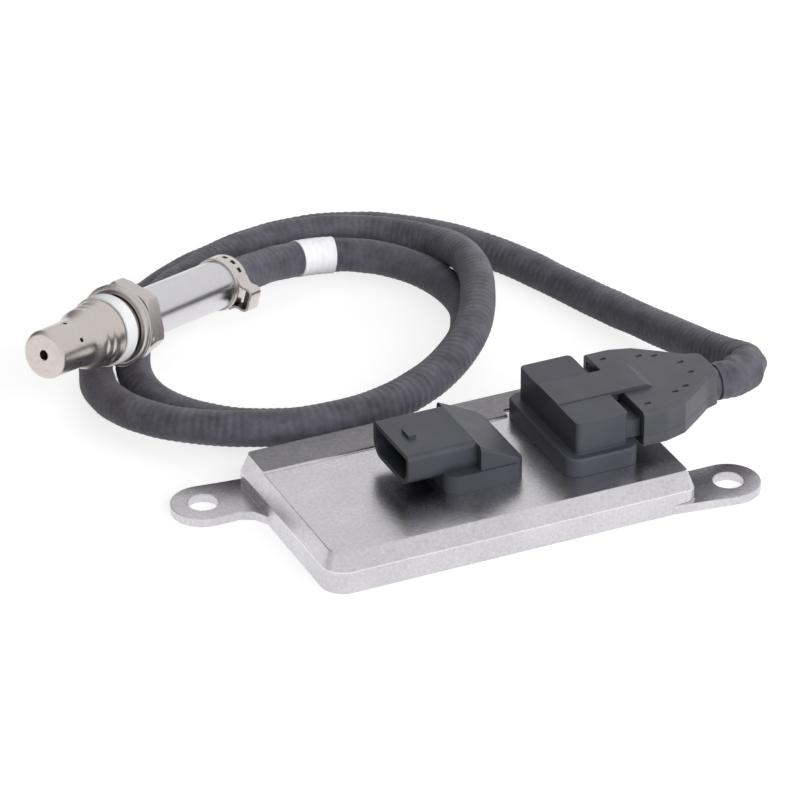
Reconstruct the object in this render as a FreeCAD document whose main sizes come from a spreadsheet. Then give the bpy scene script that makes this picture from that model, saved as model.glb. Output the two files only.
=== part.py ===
import FreeCAD, Part

import math
import os
import re

import Sketcher

# Nitrogen oxide sensor for a truck exhaust: a flat control unit with two moulded connectors, a looped
# cable in a textile sleeve, and a screw-in probe. Millimetres, +Z up. The origin is the middle of the
# control unit's footprint, halfway between its two bolt holes, and z = 0 is the surface it bolts to.

Vector = FreeCAD.Vector
doc = FreeCAD.newDocument("nitrogen_oxide_sensor")
sheet = doc.addObject("Spreadsheet::Sheet", "Sizes")

SIZES = {
    # Control unit
    "unit_height": 11.7,
    "unit_wall_height": 6.5,
    "unit_top_inset": 1.9,
    "unit_corner_radius": 6.5,
    "unit_top_corner_radius": 4.6,
    "unit_ear_corner_radius": 2.5,
    "unit_top_ear_corner_radius": 1.5,
    "unit_roof": 1.6,
    "housing_wall": 4.0,
    "cavity_corner_radius": 3.0,
    "rear_rail_width": 11.5,
    "rear_rail_height": 0.6,
    "ear_thickness": 2.6,
    "ear_radius": 8.9,
    "ear_hole_radius": 4.2,
    "ear_reach": 12.8,
    "ear_setback": 6.3,
    "ear_root_run": 7.0,
    "ear_root_rise": 5.6,
    "ear_knee_out": 0.4,
    "ear_knee_up": 0.3,
    "ear_lean_deg": 7.7,
    "cover_thickness": 1.2,
    "cover_lip": 1.8,
    "cover_gap": 0.15,
    "cover_seal_thickness": 0.5,
    # Circuit board and what it carries
    "board_thickness": 1.6,
    "board_top": 5.0,
    "board_gap": 1.0,
    "boss_radius": 3.0,
    "boss_pilot_radius": 0.9,
    "boss_pilot_depth": 4.0,
    "boss_span_length": 88.0,
    "boss_span_width": 41.6,
    "boss_inset": 6.0,
    "screw_head_radius": 2.0,
    "screw_head_height": 1.1,
    "screw_hole_gap": 0.25,
    "screw_end_gap": 0.5,
    "processor_side": 14.0,
    "processor_height": 1.4,
    "processor_place": -27.0,
    "gap_pad_inset": 0.5,
    "driver_length": 9.0,
    "driver_width": 10.0,
    "driver_height": 2.2,
    "driver_pitch": 16.0,
    "driver_inset": 12.0,
    "capacitor_radius": 3.15,
    "capacitor_height": 4.6,
    "capacitor_pitch": 9.0,
    "capacitor_place": 9.0,
    "capacitor_inset": 7.8,
    "inductor_side": 7.0,
    "inductor_height": 4.0,
    "inductor_place": -10.0,
    # Vehicle connector, a five-pin header that opens towards -X
    "vehicle_flange_length": 23.2,
    "vehicle_flange_width": 29.0,
    "vehicle_flange_height": 5.3,
    "vehicle_flange_radius": 4.0,
    "vehicle_flange_place": -0.7,
    "vehicle_boss_length": 12.0,
    "vehicle_boss_width": 18.0,
    "vehicle_mouth": -22.5,
    "vehicle_barrel_end": -2.5,
    "vehicle_barrel_width": 22.4,
    "vehicle_barrel_height": 9.8,
    "vehicle_barrel_top": 24.4,
    "vehicle_barrel_low_radius": 4.6,
    "vehicle_barrel_high_radius": 1.6,
    "vehicle_barrel_wall": 1.4,
    "vehicle_socket_depth": 14.5,
    "vehicle_pin_count": 5,
    "vehicle_pin_pitch": 3.4,
    "vehicle_pin_level": 19.4,
    "vehicle_pin_reach": 10.0,
    "vehicle_latch_width": 4.4,
    "vehicle_latch_length": 2.2,
    "vehicle_latch_height": 0.9,
    "vehicle_latch_place": 4.2,
    "vehicle_ramp_ledge": 0.5,
    "vehicle_ramp_bevel": 1.0,
    "vehicle_ramp_low_bevel": 0.2,
    "vehicle_ramp_drop": 0.3,
    "vehicle_ramp_toe": 0.4,
    # Sensor connector, an eight-pin header that opens towards +X
    "sensor_flange_length": 21.7,
    "sensor_flange_width": 40.6,
    "sensor_flange_height": 5.4,
    "sensor_flange_radius": 4.5,
    "sensor_flange_place": 31.65,
    "sensor_flange_bevel": 0.5,
    "sensor_boss_length": 15.0,
    "sensor_boss_width": 30.0,
    "sensor_block_start": 24.0,
    "sensor_block_end": 39.5,
    "sensor_block_width": 35.4,
    "sensor_block_top": 26.6,
    "sensor_block_radius": 1.5,
    "sensor_socket_depth": 12.5,
    "sensor_socket_side_wall": 1.8,
    "sensor_socket_floor": 1.7,
    "sensor_socket_roof": 2.2,
    "sensor_pin_count": 8,
    "sensor_pin_pitch": 3.0,
    "sensor_pin_level": 21.6,
    "sensor_pin_reach": 8.5,
    "sensor_pin_root": 1.6,
    "pin_side": 0.8,
    "pin_tail": 0.6,
    "pin_hole_radius": 0.8,
    "header_seal_width": 1.4,
    "header_seal_height": 0.9,
    "header_seal_edge": 1.5,
    # Plug
    "plug_gap": 0.3,
    "plug_nose_gap": 1.0,
    "plug_cover_gap": 1.0,
    "plug_collar_end": 43.8,
    "plug_collar_width": 31.0,
    "plug_collar_low": 17.4,
    "plug_collar_top": 22.6,
    "plug_rear_end": 51.0,
    "plug_rear_low": 17.2,
    "plug_rear_top": 23.8,
    "terminal_radius": 1.0,
    "terminal_bore": 0.62,
    "terminal_length": 14.0,
    "terminal_gap": 0.1,
    "terminal_setback": 4.4,
    "wire_radius": 0.55,
    "wire_squeeze": 0.28,
    "wire_row_share": 1.8,
    "wire_crimp_length": 3.0,
    "wire_straight": 6.5,
    "wire_gather": 1.0,
    "wire_seal_length": 4.5,
    "wire_seal_width": 24.2,
    "wire_seal_height": 4.0,
    "front_seal_length": 2.0,
    "front_seal_setback": 3.0,
    "front_seal_thickness": 0.8,
    "slide_width": 12.0,
    "slide_start": 24.6,
    "slide_end": 53.0,
    "slide_thickness": 1.3,
    "slide_level": 25.6,
    "slide_gap": 0.15,
    "slide_ramp": 2.2,
    "slide_foot_start": 40.4,
    "slide_foot_end": 43.4,
    "slide_foot_width": 8.0,
    # Cable cover on the plug
    "shell_low": 15.4,
    "shell_top": 25.6,
    "shell_start": 43.9,
    "shell_half_width": 18.2,
    "shell_shoulder": 51.0,
    "shell_bend_place": 57.5,
    "shell_bend_share": 0.824,
    "shell_waist_place": 64.0,
    "shell_waist_share": 0.37,
    "shell_throat_place": 69.0,
    "shell_throat_half": 7.4,
    "shell_end": 73.5,
    "shell_end_half": 5.9,
    "shell_wall": 1.7,
    "shell_floor": 1.5,
    "shell_ledge": 0.9,
    "shell_corner_radius": 2.5,
    "neck_radius": 4.8,
    "neck_bore": 3.9,
    "neck_end": 75.0,
    "slot_length": 1.7,
    "slot_width": 1.0,
    # Cable
    "cable_radius": 5.1,
    "cable_gap": 0.1,
    "cable_exit_level": 18.5,
    "label_length": 9.4,
    "label_shift": 1.0,
    "label_thickness": 0.3,
    "label_gap": 0.05,
    # Probe, measured along its axis from the tip
    "probe_tip_x": -93.3,
    "probe_tip_y": 71.83,
    "probe_tip_z": 29.99,
    "probe_yaw_deg": 31.51,
    "probe_pitch_deg": 100.17,
    "tube_radius": 6.8,
    "tube_wall": 0.8,
    "tube_tip_radius": 0.7,
    "tube_hole_radius": 1.35,
    "tube_side_hole_radius": 0.7,
    "tube_side_hole_place": 9.4,
    "tube_side_hole_count": 6,
    "flare_start": 14.0,
    "flare_end": 17.5,
    "flare_radius": 8.5,
    "collar_radius": 9.4,
    "collar_step": 0.6,
    "collar_floor": 1.6,
    "turned_edge": 0.3,
    "collar_start": 23.4,
    "collar_end": 25.6,
    "inner_tube_radius": 4.6,
    "inner_tube_wall": 0.5,
    "inner_tube_start": 3.6,
    "inner_tube_end": 28.0,
    "inner_tube_gap": 0.1,
    "inner_tip_hole_radius": 1.2,
    "inner_side_hole_radius": 0.8,
    "inner_side_hole_place": 17.8,
    "inner_flange_thickness": 0.8,
    "body_bore": 5.6,
    "bore_gap": 0.05,
    "thread_root_radius": 9.2,
    "thread_radius": 10.0,
    "thread_start": 25.6,
    "thread_end": 30.4,
    "undercut_radius": 9.0,
    "undercut_run": 0.5,
    "gasket_radius": 11.6,
    "gasket_start": 32.2,
    "gasket_end": 35.2,
    "gasket_gap": 0.1,
    "gasket_bevel": 0.8,
    "hex_across_flats": 21.0,
    "hex_chamfer_radius": 11.2,
    "hex_chamfer_share": 0.6,
    "hex_step": 0.6,
    "hex_start": 35.6,
    "hex_end": 40.9,
    "hex_turn_deg": 11.2,
    "body_end": 47.0,
    "body_tail_radius": 6.4,
    "sleeve_radius": 7.0,
    "sleeve_wall": 0.5,
    "sleeve_end": 86.0,
    "sleeve_lip": 0.8,
    "element_width": 4.2,
    "element_thickness": 1.3,
    "element_start": 6.0,
    "element_end": 58.0,
    "insulator_radius": 5.5,
    "front_insulator_end": 34.0,
    "talc_end": 38.0,
    "rear_insulator_end": 50.0,
    "carrier_radius": 6.3,
    "carrier_end": 63.0,
    "carrier_cap": 2.0,
    "contact_width": 0.9,
    "contact_thickness": 0.5,
    "contact_length": 8.0,
    "contact_pitch": 1.05,
    "contact_slot_gap": 0.4,
    "lead_radius": 0.6,
    "lead_circle": 3.6,
    "lead_count": 8,
    "grommet_start": 71.0,
    "grommet_end": 81.5,
    "grommet_radius": 6.4,
    "clamp_radius": 7.8,
    "clamp_start": 79.0,
    "clamp_end": 87.0,
    "clamp_ear_height": 4.6,
    "clamp_ear_length": 7.4,
    "clamp_ear_width": 4.8,
    "clamp_ear_wall": 1.1,
    "clamp_ear_sink": 0.9,
    "clamp_ear_bevel": 1.0,
    # How far pieces that become one are sunk into each other, and how far cuts run past a face
    "sink": 0.2,
    "past": 1.0,
}

# Lengths that follow from the sizes. The circuit board's screws set the room inside the housing, the
# housing's wall goes round that, and the two ears stand off its end walls.
CAVITY_LENGTH = "(boss_span_length + 2 * boss_inset)"
CAVITY_WIDTH = "(boss_span_width + 2 * boss_inset)"
UNIT_LENGTH = "(boss_span_length + 2 * boss_inset + 2 * housing_wall)"
UNIT_WIDTH = "(boss_span_width + 2 * boss_inset + 2 * housing_wall)"
EAR_X = "(%s / 2 + ear_reach)" % UNIT_LENGTH
EAR_Y = "(%s / 2 - ear_setback)" % UNIT_WIDTH
SENSOR_LOW = "(unit_height + sensor_flange_height)"
TERMINAL_START = "(sensor_block_start + sensor_pin_root + terminal_setback)"
PLUG_REAR_HALF = "(shell_half_width - shell_wall - plug_cover_gap)"

# The cable's route from the plug to the probe, as points round its centre line. It folds back at the
# plug, drops to the floor, makes two loops and climbs into the back of the probe.
ROUTE = [
    (75.0, 0.0, 18.5),
    (80.2, 0.0, 18.5),
    (84.9, 1.9, 18.3),
    (88.1, 5.4, 17.6),
    (89.7, 10.6, 16.3),
    (88.6, 18.8, 14.1),
    (86.9, 30.8, 11.4),
    (84.6, 46.8, 8.5),
    (80.7, 65.4, 6.3),
    (75.4, 84.9, 5.2),
    (68.5, 105.8, 5.2),
    (58.0, 126.4, 5.2),
    (42.4, 142.5, 5.2),
    (22.8, 150.7, 5.2),
    (0.9, 150.1, 5.2),
    (-21.4, 142.7, 5.2),
    (-41.6, 131.2, 5.2),
    (-63.2, 110.7, 5.2),
    (-73.1, 87.0, 7.1),
    (-71.1, 65.1, 9.5),
    (-57.6, 47.7, 11.0),
    (-36.0, 37.6, 11.1),
    (-12.8, 36.1, 10.9),
    (10.2, 42.9, 11.8),
    (30.1, 58.5, 14.4),
    (42.4, 79.9, 15.9),
    (49.3, 102.0, 14.3),
    (46.8, 121.9, 10.0),
    (33.4, 136.5, 8.7),
    (13.4, 142.1, 9.9),
    (-9.9, 137.9, 11.0),
    (-31.6, 127.6, 11.4),
    (-49.7, 112.2, 10.7),
    (-59.5, 94.7, 6.3),
    (-61.2, 76.5, 5.2),
    (-52.2, 59.5, 5.2),
    (-36.0, 48.6, 5.2),
    (-15.2, 45.5, 5.2),
    (5.6, 50.2, 5.2),
    (25.2, 62.3, 5.2),
    (39.7, 79.5, 5.2),
    (44.3, 98.7, 5.2),
    (36.8, 118.3, 6.6),
    (23.8, 127.8, 8.1),
    (7.0, 128.8, 10.0),
]
PROBE_END_RUN = 16.0
ARC_SHARE = 0.45

for row, (alias, number) in enumerate(SIZES.items(), start=1):
    sheet.set("A%d" % row, alias)
    sheet.set("B%d" % row, repr(number))
    sheet.setAlias("B%d" % row, alias)
doc.recompute()


def bound(text):
    """Turn names of sizes in a formula into references to the sheet's cells."""
    return re.sub(r"[a-z_]+", lambda m: "Sizes." + m.group(0) if m.group(0) in SIZES else m.group(0), text)


def size(text):
    """The present value of a formula."""
    return float(sheet.evalExpression(bound(text)))


def bind(thing, **formulas):
    for name, text in formulas.items():
        thing.setExpression(name.replace("__", "."), bound(text))
    return thing


def new_body(label, on_probe=False):
    body = doc.addObject("PartDesign::Body", label)
    body.Label = label
    if on_probe:
        seat(body)
    return body


def seat(thing):
    """Put a piece that is drawn along Z from the probe's tip where the probe lies."""
    base = "create(<<vector>>; probe_tip_x; probe_tip_y; probe_tip_z)"
    turn = "create(<<rotation>>; probe_yaw_deg; probe_pitch_deg; 0)"
    thing.setExpression("Placement", bound("create(<<placement>>; %s; %s)" % (base, turn)))


def sketch_on(body, name, role, level="0"):
    sketch = body.newObject("Sketcher::SketchObject", name)
    plane = [item for item in body.Origin.OriginFeatures if item.Role == role][0]
    sketch.AttachmentSupport = (plane, [""])
    sketch.MapMode = "FlatFace"
    sketch.setExpression("AttachmentOffset.Base.z", bound(level))
    return sketch


def add_outline(sketch, points):
    """A closed outline of straight lines whose corners are tied to the sheet."""
    corners = [(size(x), size(y)) for x, y in points]
    first = sketch.GeometryCount
    count = len(points)
    for i in range(count):
        start, end = corners[i], corners[(i + 1) % count]
        sketch.addGeometry(Part.LineSegment(Vector(*start, 0), Vector(*end, 0)), False)
    for i in range(count):
        sketch.addConstraint(Sketcher.Constraint("Coincident", first + i, 2, first + (i + 1) % count, 1))
    for i, (x, y) in enumerate(points):
        for kind, text, number in (("DistanceX", x, corners[i][0]), ("DistanceY", y, corners[i][1])):
            index = sketch.addConstraint(Sketcher.Constraint(kind, -1, 1, first + i, 1, number))
            sketch.setExpression("Constraints[%d]" % index, bound(text))


def add_circle(sketch, x, y, radius):
    at = Vector(size(x), size(y), 0)
    index = sketch.addGeometry(Part.Circle(at, Vector(0, 0, 1), size(radius)), False)
    for kind, text, number in (("DistanceX", x, at.x), ("DistanceY", y, at.y)):
        place = sketch.addConstraint(Sketcher.Constraint(kind, -1, 1, index, 3, number))
        sketch.setExpression("Constraints[%d]" % place, bound(text))
    place = sketch.addConstraint(Sketcher.Constraint("Radius", index, size(radius)))
    sketch.setExpression("Constraints[%d]" % place, bound(radius))


def rectangle(x, y, length, width):
    """Corners of a rectangle about a centre, as formulas."""
    left, right = "%s - (%s) / 2" % (x, length), "%s + (%s) / 2" % (x, length)
    low, high = "%s - (%s) / 2" % (y, width), "%s + (%s) / 2" % (y, width)
    return [(left, low), (right, low), (right, high), (left, high)]


def checked(body, feature, grows):
    """Recompute and make sure that a feature changed the solid the way it should."""
    before = body.Tip.Shape.Volume if body.Tip and not body.Tip.Shape.isNull() else 0.0
    doc.recompute()
    after = feature.Shape.Volume
    if (after > before) != grows or abs(after - before) < 1e-6:
        raise RuntimeError("%s in %s did nothing" % (feature.Name, body.Label))
    body.Tip = feature
    return feature


def new_feature(body, kind, name):
    """A feature that isn't the body's tip yet, so that checked() sees the solid as it was."""
    before = body.Tip
    feature = body.newObject("PartDesign::" + kind, name)
    body.Tip = before
    return feature


def pad(body, sketch, length, midplane=False):
    feature = new_feature(body, "Pad", "Pad")
    feature.Profile = sketch
    feature.Midplane = midplane
    bind(feature, Length=length)
    return checked(body, feature, True)


def pocket(body, sketch, length, midplane=False, upwards=False):
    feature = new_feature(body, "Pocket", "Pocket")
    feature.Profile = sketch
    feature.Midplane = midplane
    feature.Reversed = upwards
    bind(feature, Length=length)
    return checked(body, feature, False)


def revolve(body, sketch):
    feature = body.newObject("PartDesign::Revolution", "Revolution")
    feature.Profile = sketch
    feature.ReferenceAxis = (sketch, ["V_Axis"])
    feature.Angle = 360.0
    doc.recompute()
    body.Tip = feature
    return feature


def edges_where(feature, test):
    return ["Edge%d" % (i + 1) for i, edge in enumerate(feature.Shape.Edges) if test(edge)]


def straight_along(edge, axis):
    """True where an edge is a straight line along X, Y or Z."""
    if not isinstance(edge.Curve, (Part.Line, Part.LineSegment)):
        return False
    direction = edge.tangentAt(edge.FirstParameter)
    return abs(direction.dot(axis)) > 0.999


AXIS_Z = Vector(0, 0, 1)
NEAR = 0.01


def round_edges(body, radius, test):
    tip = body.Tip
    names = edges_where(tip, test)
    feature = body.newObject("PartDesign::Fillet", "Fillet")
    feature.Base = (tip, names)
    bind(feature, Radius=radius)
    doc.recompute()
    body.Tip = feature
    return feature


def bevel_edges(body, reach, test, depth=None, flip=False):
    tip = body.Tip
    names = edges_where(tip, test)
    feature = body.newObject("PartDesign::Chamfer", "Chamfer")
    feature.Base = (tip, names)
    bind(feature, Size=reach)
    if depth:
        feature.ChamferType = "Two distances"
        feature.FlipDirection = flip
        bind(feature, Size2=depth)
    doc.recompute()
    body.Tip = feature
    return feature


def pattern_round(body, features, count):
    feature = body.newObject("PartDesign::PolarPattern", "PolarPattern")
    feature.Originals = features
    axis = [item for item in body.Origin.OriginFeatures if item.Role == "Z_Axis"][0]
    feature.Axis = (axis, [""])
    feature.Angle = 360.0
    bind(feature, Occurrences=count)
    body.Tip = feature
    doc.recompute()
    return feature


def pattern_row(body, features, role, length, count):
    feature = body.newObject("PartDesign::LinearPattern", "LinearPattern")
    feature.Originals = features
    axis = [item for item in body.Origin.OriginFeatures if item.Role == role][0]
    feature.Direction = (axis, [""])
    bind(feature, Length=length, Occurrences=count)
    body.Tip = feature
    doc.recompute()
    return feature


def box(name, x, y, low, length, width, height):
    """A box about a centre in X and Y, standing on a level."""
    thing = doc.addObject("Part::Box", name)
    thing.Label = name
    bind(thing, Length=length, Width=width, Height=height, Placement__Base__x="%s - (%s) / 2" % (x, length))
    bind(thing, Placement__Base__y="%s - (%s) / 2" % (y, width), Placement__Base__z=low)
    return thing


def upright(name, x, y, low, radius, height):
    thing = doc.addObject("Part::Cylinder", name)
    thing.Label = name
    bind(thing, Radius=radius, Height=height)
    bind(thing, Placement__Base__x=x, Placement__Base__y=y, Placement__Base__z=low)
    return thing


def joined(name, things):
    """Separate solids kept as one group."""
    group = doc.addObject("Part::Compound", name)
    group.Label = name
    group.Links = things
    return group


def fused(name, things):
    thing = doc.addObject("Part::MultiFuse", name)
    thing.Label = name
    thing.Shapes = things
    return thing


def cut(name, base, tool):
    thing = doc.addObject("Part::Cut", name)
    thing.Label = name
    thing.Base = base
    thing.Tool = tool
    return thing


def plain(name, shape, on_probe=False):
    thing = doc.addObject("Part::Feature", name)
    thing.Label = name
    thing.Shape = shape
    if on_probe:
        seat(thing)
    return thing


def spread(index, count, pitch):
    """The place of one of a row of equal pieces that is centred on zero."""
    return "(%d - (%s - 1) / 2) * %s" % (index, count, pitch)


# Control unit

def unit_housing():
    body = new_body("unit_housing_casting")
    wall = sketch_on(body, "HousingOutline", "XY_Plane")
    unit_outline(wall, "0", "unit_corner_radius", "unit_ear_corner_radius")
    pad(body, wall, "unit_wall_height")

    # The upper part leans in from the wall to the flat roof.
    loft = new_feature(body, "AdditiveLoft", "TaperedTop")
    low = sketch_on(body, "TaperFoot", "XY_Plane", "unit_wall_height")
    high = sketch_on(body, "TaperHead", "XY_Plane", "unit_height")
    unit_outline(low, "0", "unit_corner_radius", "unit_ear_corner_radius")
    unit_outline(high, "unit_top_inset", "unit_top_corner_radius", "unit_top_ear_corner_radius")
    loft.Profile = low
    loft.Sections = [high]
    loft.Ruled = True
    checked(body, loft, True)

    # The top's rear strip is a step higher, except behind the sensor connector's flange.
    rail = sketch_on(body, "RearRail", "XY_Plane", "unit_height")
    unit_outline(rail, "unit_top_inset", "unit_top_corner_radius", "unit_top_ear_corner_radius")
    pad(body, rail, "rear_rail_height")
    step = sketch_on(body, "RailFront", "XY_Plane", "unit_height")
    front, rail_front = "-(%s) / 2" % UNIT_WIDTH, "%s / 2 - unit_top_inset - rear_rail_width" % UNIT_WIDTH
    side = UNIT_LENGTH + " / 2"
    half = "(sensor_flange_length / 2 + cover_gap)"
    back = "sensor_flange_width / 2 + cover_gap"
    add_outline(step, [
        ("-" + side, front),
        (side, front),
        (side, rail_front),
        ("sensor_flange_place + " + half, rail_front),
        ("sensor_flange_place + " + half, back),
        ("sensor_flange_place - " + half, back),
        ("sensor_flange_place - " + half, rail_front),
        ("-" + side, rail_front),
    ])
    pocket(body, step, "rear_rail_height", upwards=True)

    ear = sketch_on(body, "EarDisc", "XY_Plane")
    add_circle(ear, EAR_X, "-" + EAR_Y, "ear_radius")
    disc = pad(body, ear, "ear_thickness")
    web = sketch_on(body, "EarWeb", "XY_Plane")
    back = "-%s + ear_radius" % EAR_Y
    # The front edge runs straight from the long wall to the disc; the back one curves into the end wall.
    add_outline(web, [
        (EAR_X, back),
        (UNIT_LENGTH + " / 2 + ear_root_rise", back),
        (UNIT_LENGTH + " / 2 + ear_root_rise * ear_knee_out", back + " + ear_root_rise * ear_knee_up"),
        (UNIT_LENGTH + " / 2", back + " + ear_root_rise"),
        (UNIT_LENGTH + " / 2 - ear_root_run", back),
        (UNIT_LENGTH + " / 2 - ear_root_run", "-%s / 2" % UNIT_WIDTH),
        ("%s - ear_radius * sin(ear_lean_deg)" % EAR_X, "-%s - ear_radius * cos(ear_lean_deg)" % EAR_Y),
        (EAR_X, "-" + EAR_Y),
    ])
    root = pad(body, web, "ear_thickness")
    hole = sketch_on(body, "EarHole", "XY_Plane", "ear_thickness")
    add_circle(hole, EAR_X, "-" + EAR_Y, "ear_hole_radius")
    bore = pocket(body, hole, "ear_thickness")
    pattern_round(body, [disc, root, bore], "2")

    cavity = sketch_on(body, "Cavity", "XY_Plane")
    rounded_rectangle(cavity, CAVITY_LENGTH, CAVITY_WIDTH, "cavity_corner_radius")
    pocket(body, cavity, "unit_height - unit_roof", upwards=True)
    rebate = sketch_on(body, "CoverRebate", "XY_Plane")
    rounded_rectangle(rebate, CAVITY_LENGTH + " + 2 * cover_lip", CAVITY_WIDTH + " + 2 * cover_lip",
                      "cavity_corner_radius")
    pocket(body, rebate, "cover_thickness + cover_seal_thickness", upwards=True)

    bosses = sketch_on(body, "BoardBosses", "XY_Plane", "board_top")
    pilots = sketch_on(body, "BossPilots", "XY_Plane", "board_top")
    for x in ("boss_span_length / 2", "-boss_span_length / 2"):
        for y in ("boss_span_width / 2", "-boss_span_width / 2"):
            add_circle(bosses, x, y, "boss_radius")
            add_circle(pilots, x, y, "boss_pilot_radius")
    pad(body, bosses, "unit_height - unit_roof - board_top")
    pocket(body, pilots, "boss_pilot_depth", upwards=True)

    windows = sketch_on(body, "ConnectorWindows", "XY_Plane", "unit_height")
    gap = " + 2 * slide_gap"
    add_outline(windows, rectangle("vehicle_flange_place", "0", "vehicle_boss_length" + gap,
                                   "vehicle_boss_width" + gap))
    add_outline(windows, rectangle("sensor_flange_place", "0", "sensor_boss_length" + gap,
                                   "sensor_boss_width" + gap))
    pocket(body, windows, "unit_roof")
    body.Label = "unit_housing"
    return body


def unit_outline(sketch, inset, radius, ear_radius):
    """The housing from above, drawn in by an inset; the corners beside the ears are sharper."""
    rounded_rectangle(sketch, "%s - 2 * %s" % (UNIT_LENGTH, inset), "%s - 2 * %s" % (UNIT_WIDTH, inset),
                      radius, other_radius=ear_radius)


def rounded_rectangle(sketch, length, width, radius, x="0", y="0", other_radius=None):
    """A rectangle with round corners, tied to the sheet; two opposite corners may differ."""
    half_length, half_width = size(length) / 2, size(width) / 2
    cx, cy = size(x), size(y)
    even, odd = size(other_radius or radius), size(radius)
    first = sketch.GeometryCount
    reach = [(half_length - r, half_width - r) for r in (even, odd)]
    sides = [
        ((-reach[1][0], -half_width), (reach[0][0], -half_width)),
        ((half_length, -reach[0][1]), (half_length, reach[1][1])),
        ((reach[1][0], half_width), (-reach[0][0], half_width)),
        ((-half_length, reach[0][1]), (-half_length, -reach[1][1])),
    ]
    for start, end in sides:
        ends = [Vector(cx + x, cy + y, 0) for x, y in (start, end)]
        sketch.addGeometry(Part.LineSegment(*ends), False)
    quarter = math.pi / 2
    for i, (sx, sy) in enumerate(((1, -1), (1, 1), (-1, 1), (-1, -1))):
        centre = Vector(cx + sx * reach[i % 2][0], cy + sy * reach[i % 2][1], 0)
        circle = Part.Circle(centre, Vector(0, 0, 1), (even, odd)[i % 2])
        sketch.addGeometry(Part.ArcOfCircle(circle, (i - 1) * quarter, i * quarter), False)
    for i in range(4):
        arc = first + 4 + i
        sketch.addConstraint(Sketcher.Constraint("Tangent", first + i, 2, arc, 1))
        sketch.addConstraint(Sketcher.Constraint("Tangent", arc, 2, first + (i + 1) % 4, 1))
    for i, kind in enumerate(("Horizontal", "Vertical", "Horizontal", "Vertical")):
        sketch.addConstraint(Sketcher.Constraint(kind, first + i))
    for i, text, number in ((0, other_radius or radius, even), (1, radius, odd)):
        sketch.addConstraint(Sketcher.Constraint("Equal", first + 4 + i, first + 6 + i))
        place = sketch.addConstraint(Sketcher.Constraint("Radius", first + 4 + i, number))
        sketch.setExpression("Constraints[%d]" % place, bound(text))
    walls = [
        ("DistanceY", 0, "%s - (%s) / 2" % (y, width)),
        ("DistanceX", 1, "%s + (%s) / 2" % (x, length)),
        ("DistanceY", 2, "%s + (%s) / 2" % (y, width)),
        ("DistanceX", 3, "%s - (%s) / 2" % (x, length)),
    ]
    for kind, side, text in walls:
        place = sketch.addConstraint(Sketcher.Constraint(kind, -1, 1, first + side, 1, size(text)))
        sketch.setExpression("Constraints[%d]" % place, bound(text))


def plate(label, length, width, radius, low, thickness, x="0", y="0"):
    body = new_body(label)
    outline = sketch_on(body, "Outline", "XY_Plane", low)
    rounded_rectangle(outline, length, width, radius, x, y)
    pad(body, outline, thickness)
    return body


def ring_plate(label, length, width, radius, band, low, thickness, x="0", y="0"):
    """A flat frame of one width all round, such as a seal."""
    body = plate(label, length, width, radius, low, thickness, x, y)
    inside = sketch_on(body, "Inside", "XY_Plane", low)
    rounded_rectangle(inside, "%s - 2 * (%s)" % (length, band), "%s - 2 * (%s)" % (width, band),
                      "(%s) / 2" % radius, x, y)
    pocket(body, inside, thickness, upwards=True)
    return body


def unit_cover():
    gap = " + 2 * cover_lip - 2 * cover_gap"
    return plate("unit_base_cover", CAVITY_LENGTH + gap, CAVITY_WIDTH + gap, "cavity_corner_radius",
                 "0", "cover_thickness")


def unit_seal():
    gap = " + 2 * cover_lip - 2 * cover_gap"
    return ring_plate("unit_cover_seal", CAVITY_LENGTH + gap, CAVITY_WIDTH + gap, "cavity_corner_radius",
                      "cover_lip - cover_gap", "cover_thickness", "cover_seal_thickness")


def circuit_board():
    low = "board_top - board_thickness"
    body = plate("circuit_board", CAVITY_LENGTH + " - 2 * board_gap", CAVITY_WIDTH + " - 2 * board_gap",
                 "cavity_corner_radius", low, "board_thickness")
    holes = sketch_on(body, "BoardHoles", "XY_Plane", "board_top")
    for x in ("boss_span_length / 2", "-boss_span_length / 2"):
        for y in ("boss_span_width / 2", "-boss_span_width / 2"):
            add_circle(holes, x, y, "boss_pilot_radius + screw_hole_gap")
    for i in range(SIZES["vehicle_pin_count"]):
        add_circle(holes, "vehicle_flange_place", spread(i, "vehicle_pin_count", "vehicle_pin_pitch"),
                   "pin_hole_radius")
    for i in range(SIZES["sensor_pin_count"]):
        add_circle(holes, "sensor_block_start + sensor_pin_root",
                   spread(i, "sensor_pin_count", "sensor_pin_pitch"), "pin_hole_radius")
    pocket(body, holes, "board_thickness")
    return body


def board_screws():
    screws = []
    low = "board_top - board_thickness"
    for i, x in enumerate(("boss_span_length / 2", "-boss_span_length / 2")):
        for j, y in enumerate(("boss_span_width / 2", "-boss_span_width / 2")):
            name = "screw_%d%d" % (i, j)
            head = upright(name + "_head", x, y, low + " - screw_head_height", "screw_head_radius",
                           "screw_head_height")
            shank = upright(name + "_shank", x, y, low, "boss_pilot_radius",
                            "board_thickness + boss_pilot_depth - screw_end_gap")
            screws.append(fused(name, [head, shank]))
    return joined("board_screws", screws)


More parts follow.
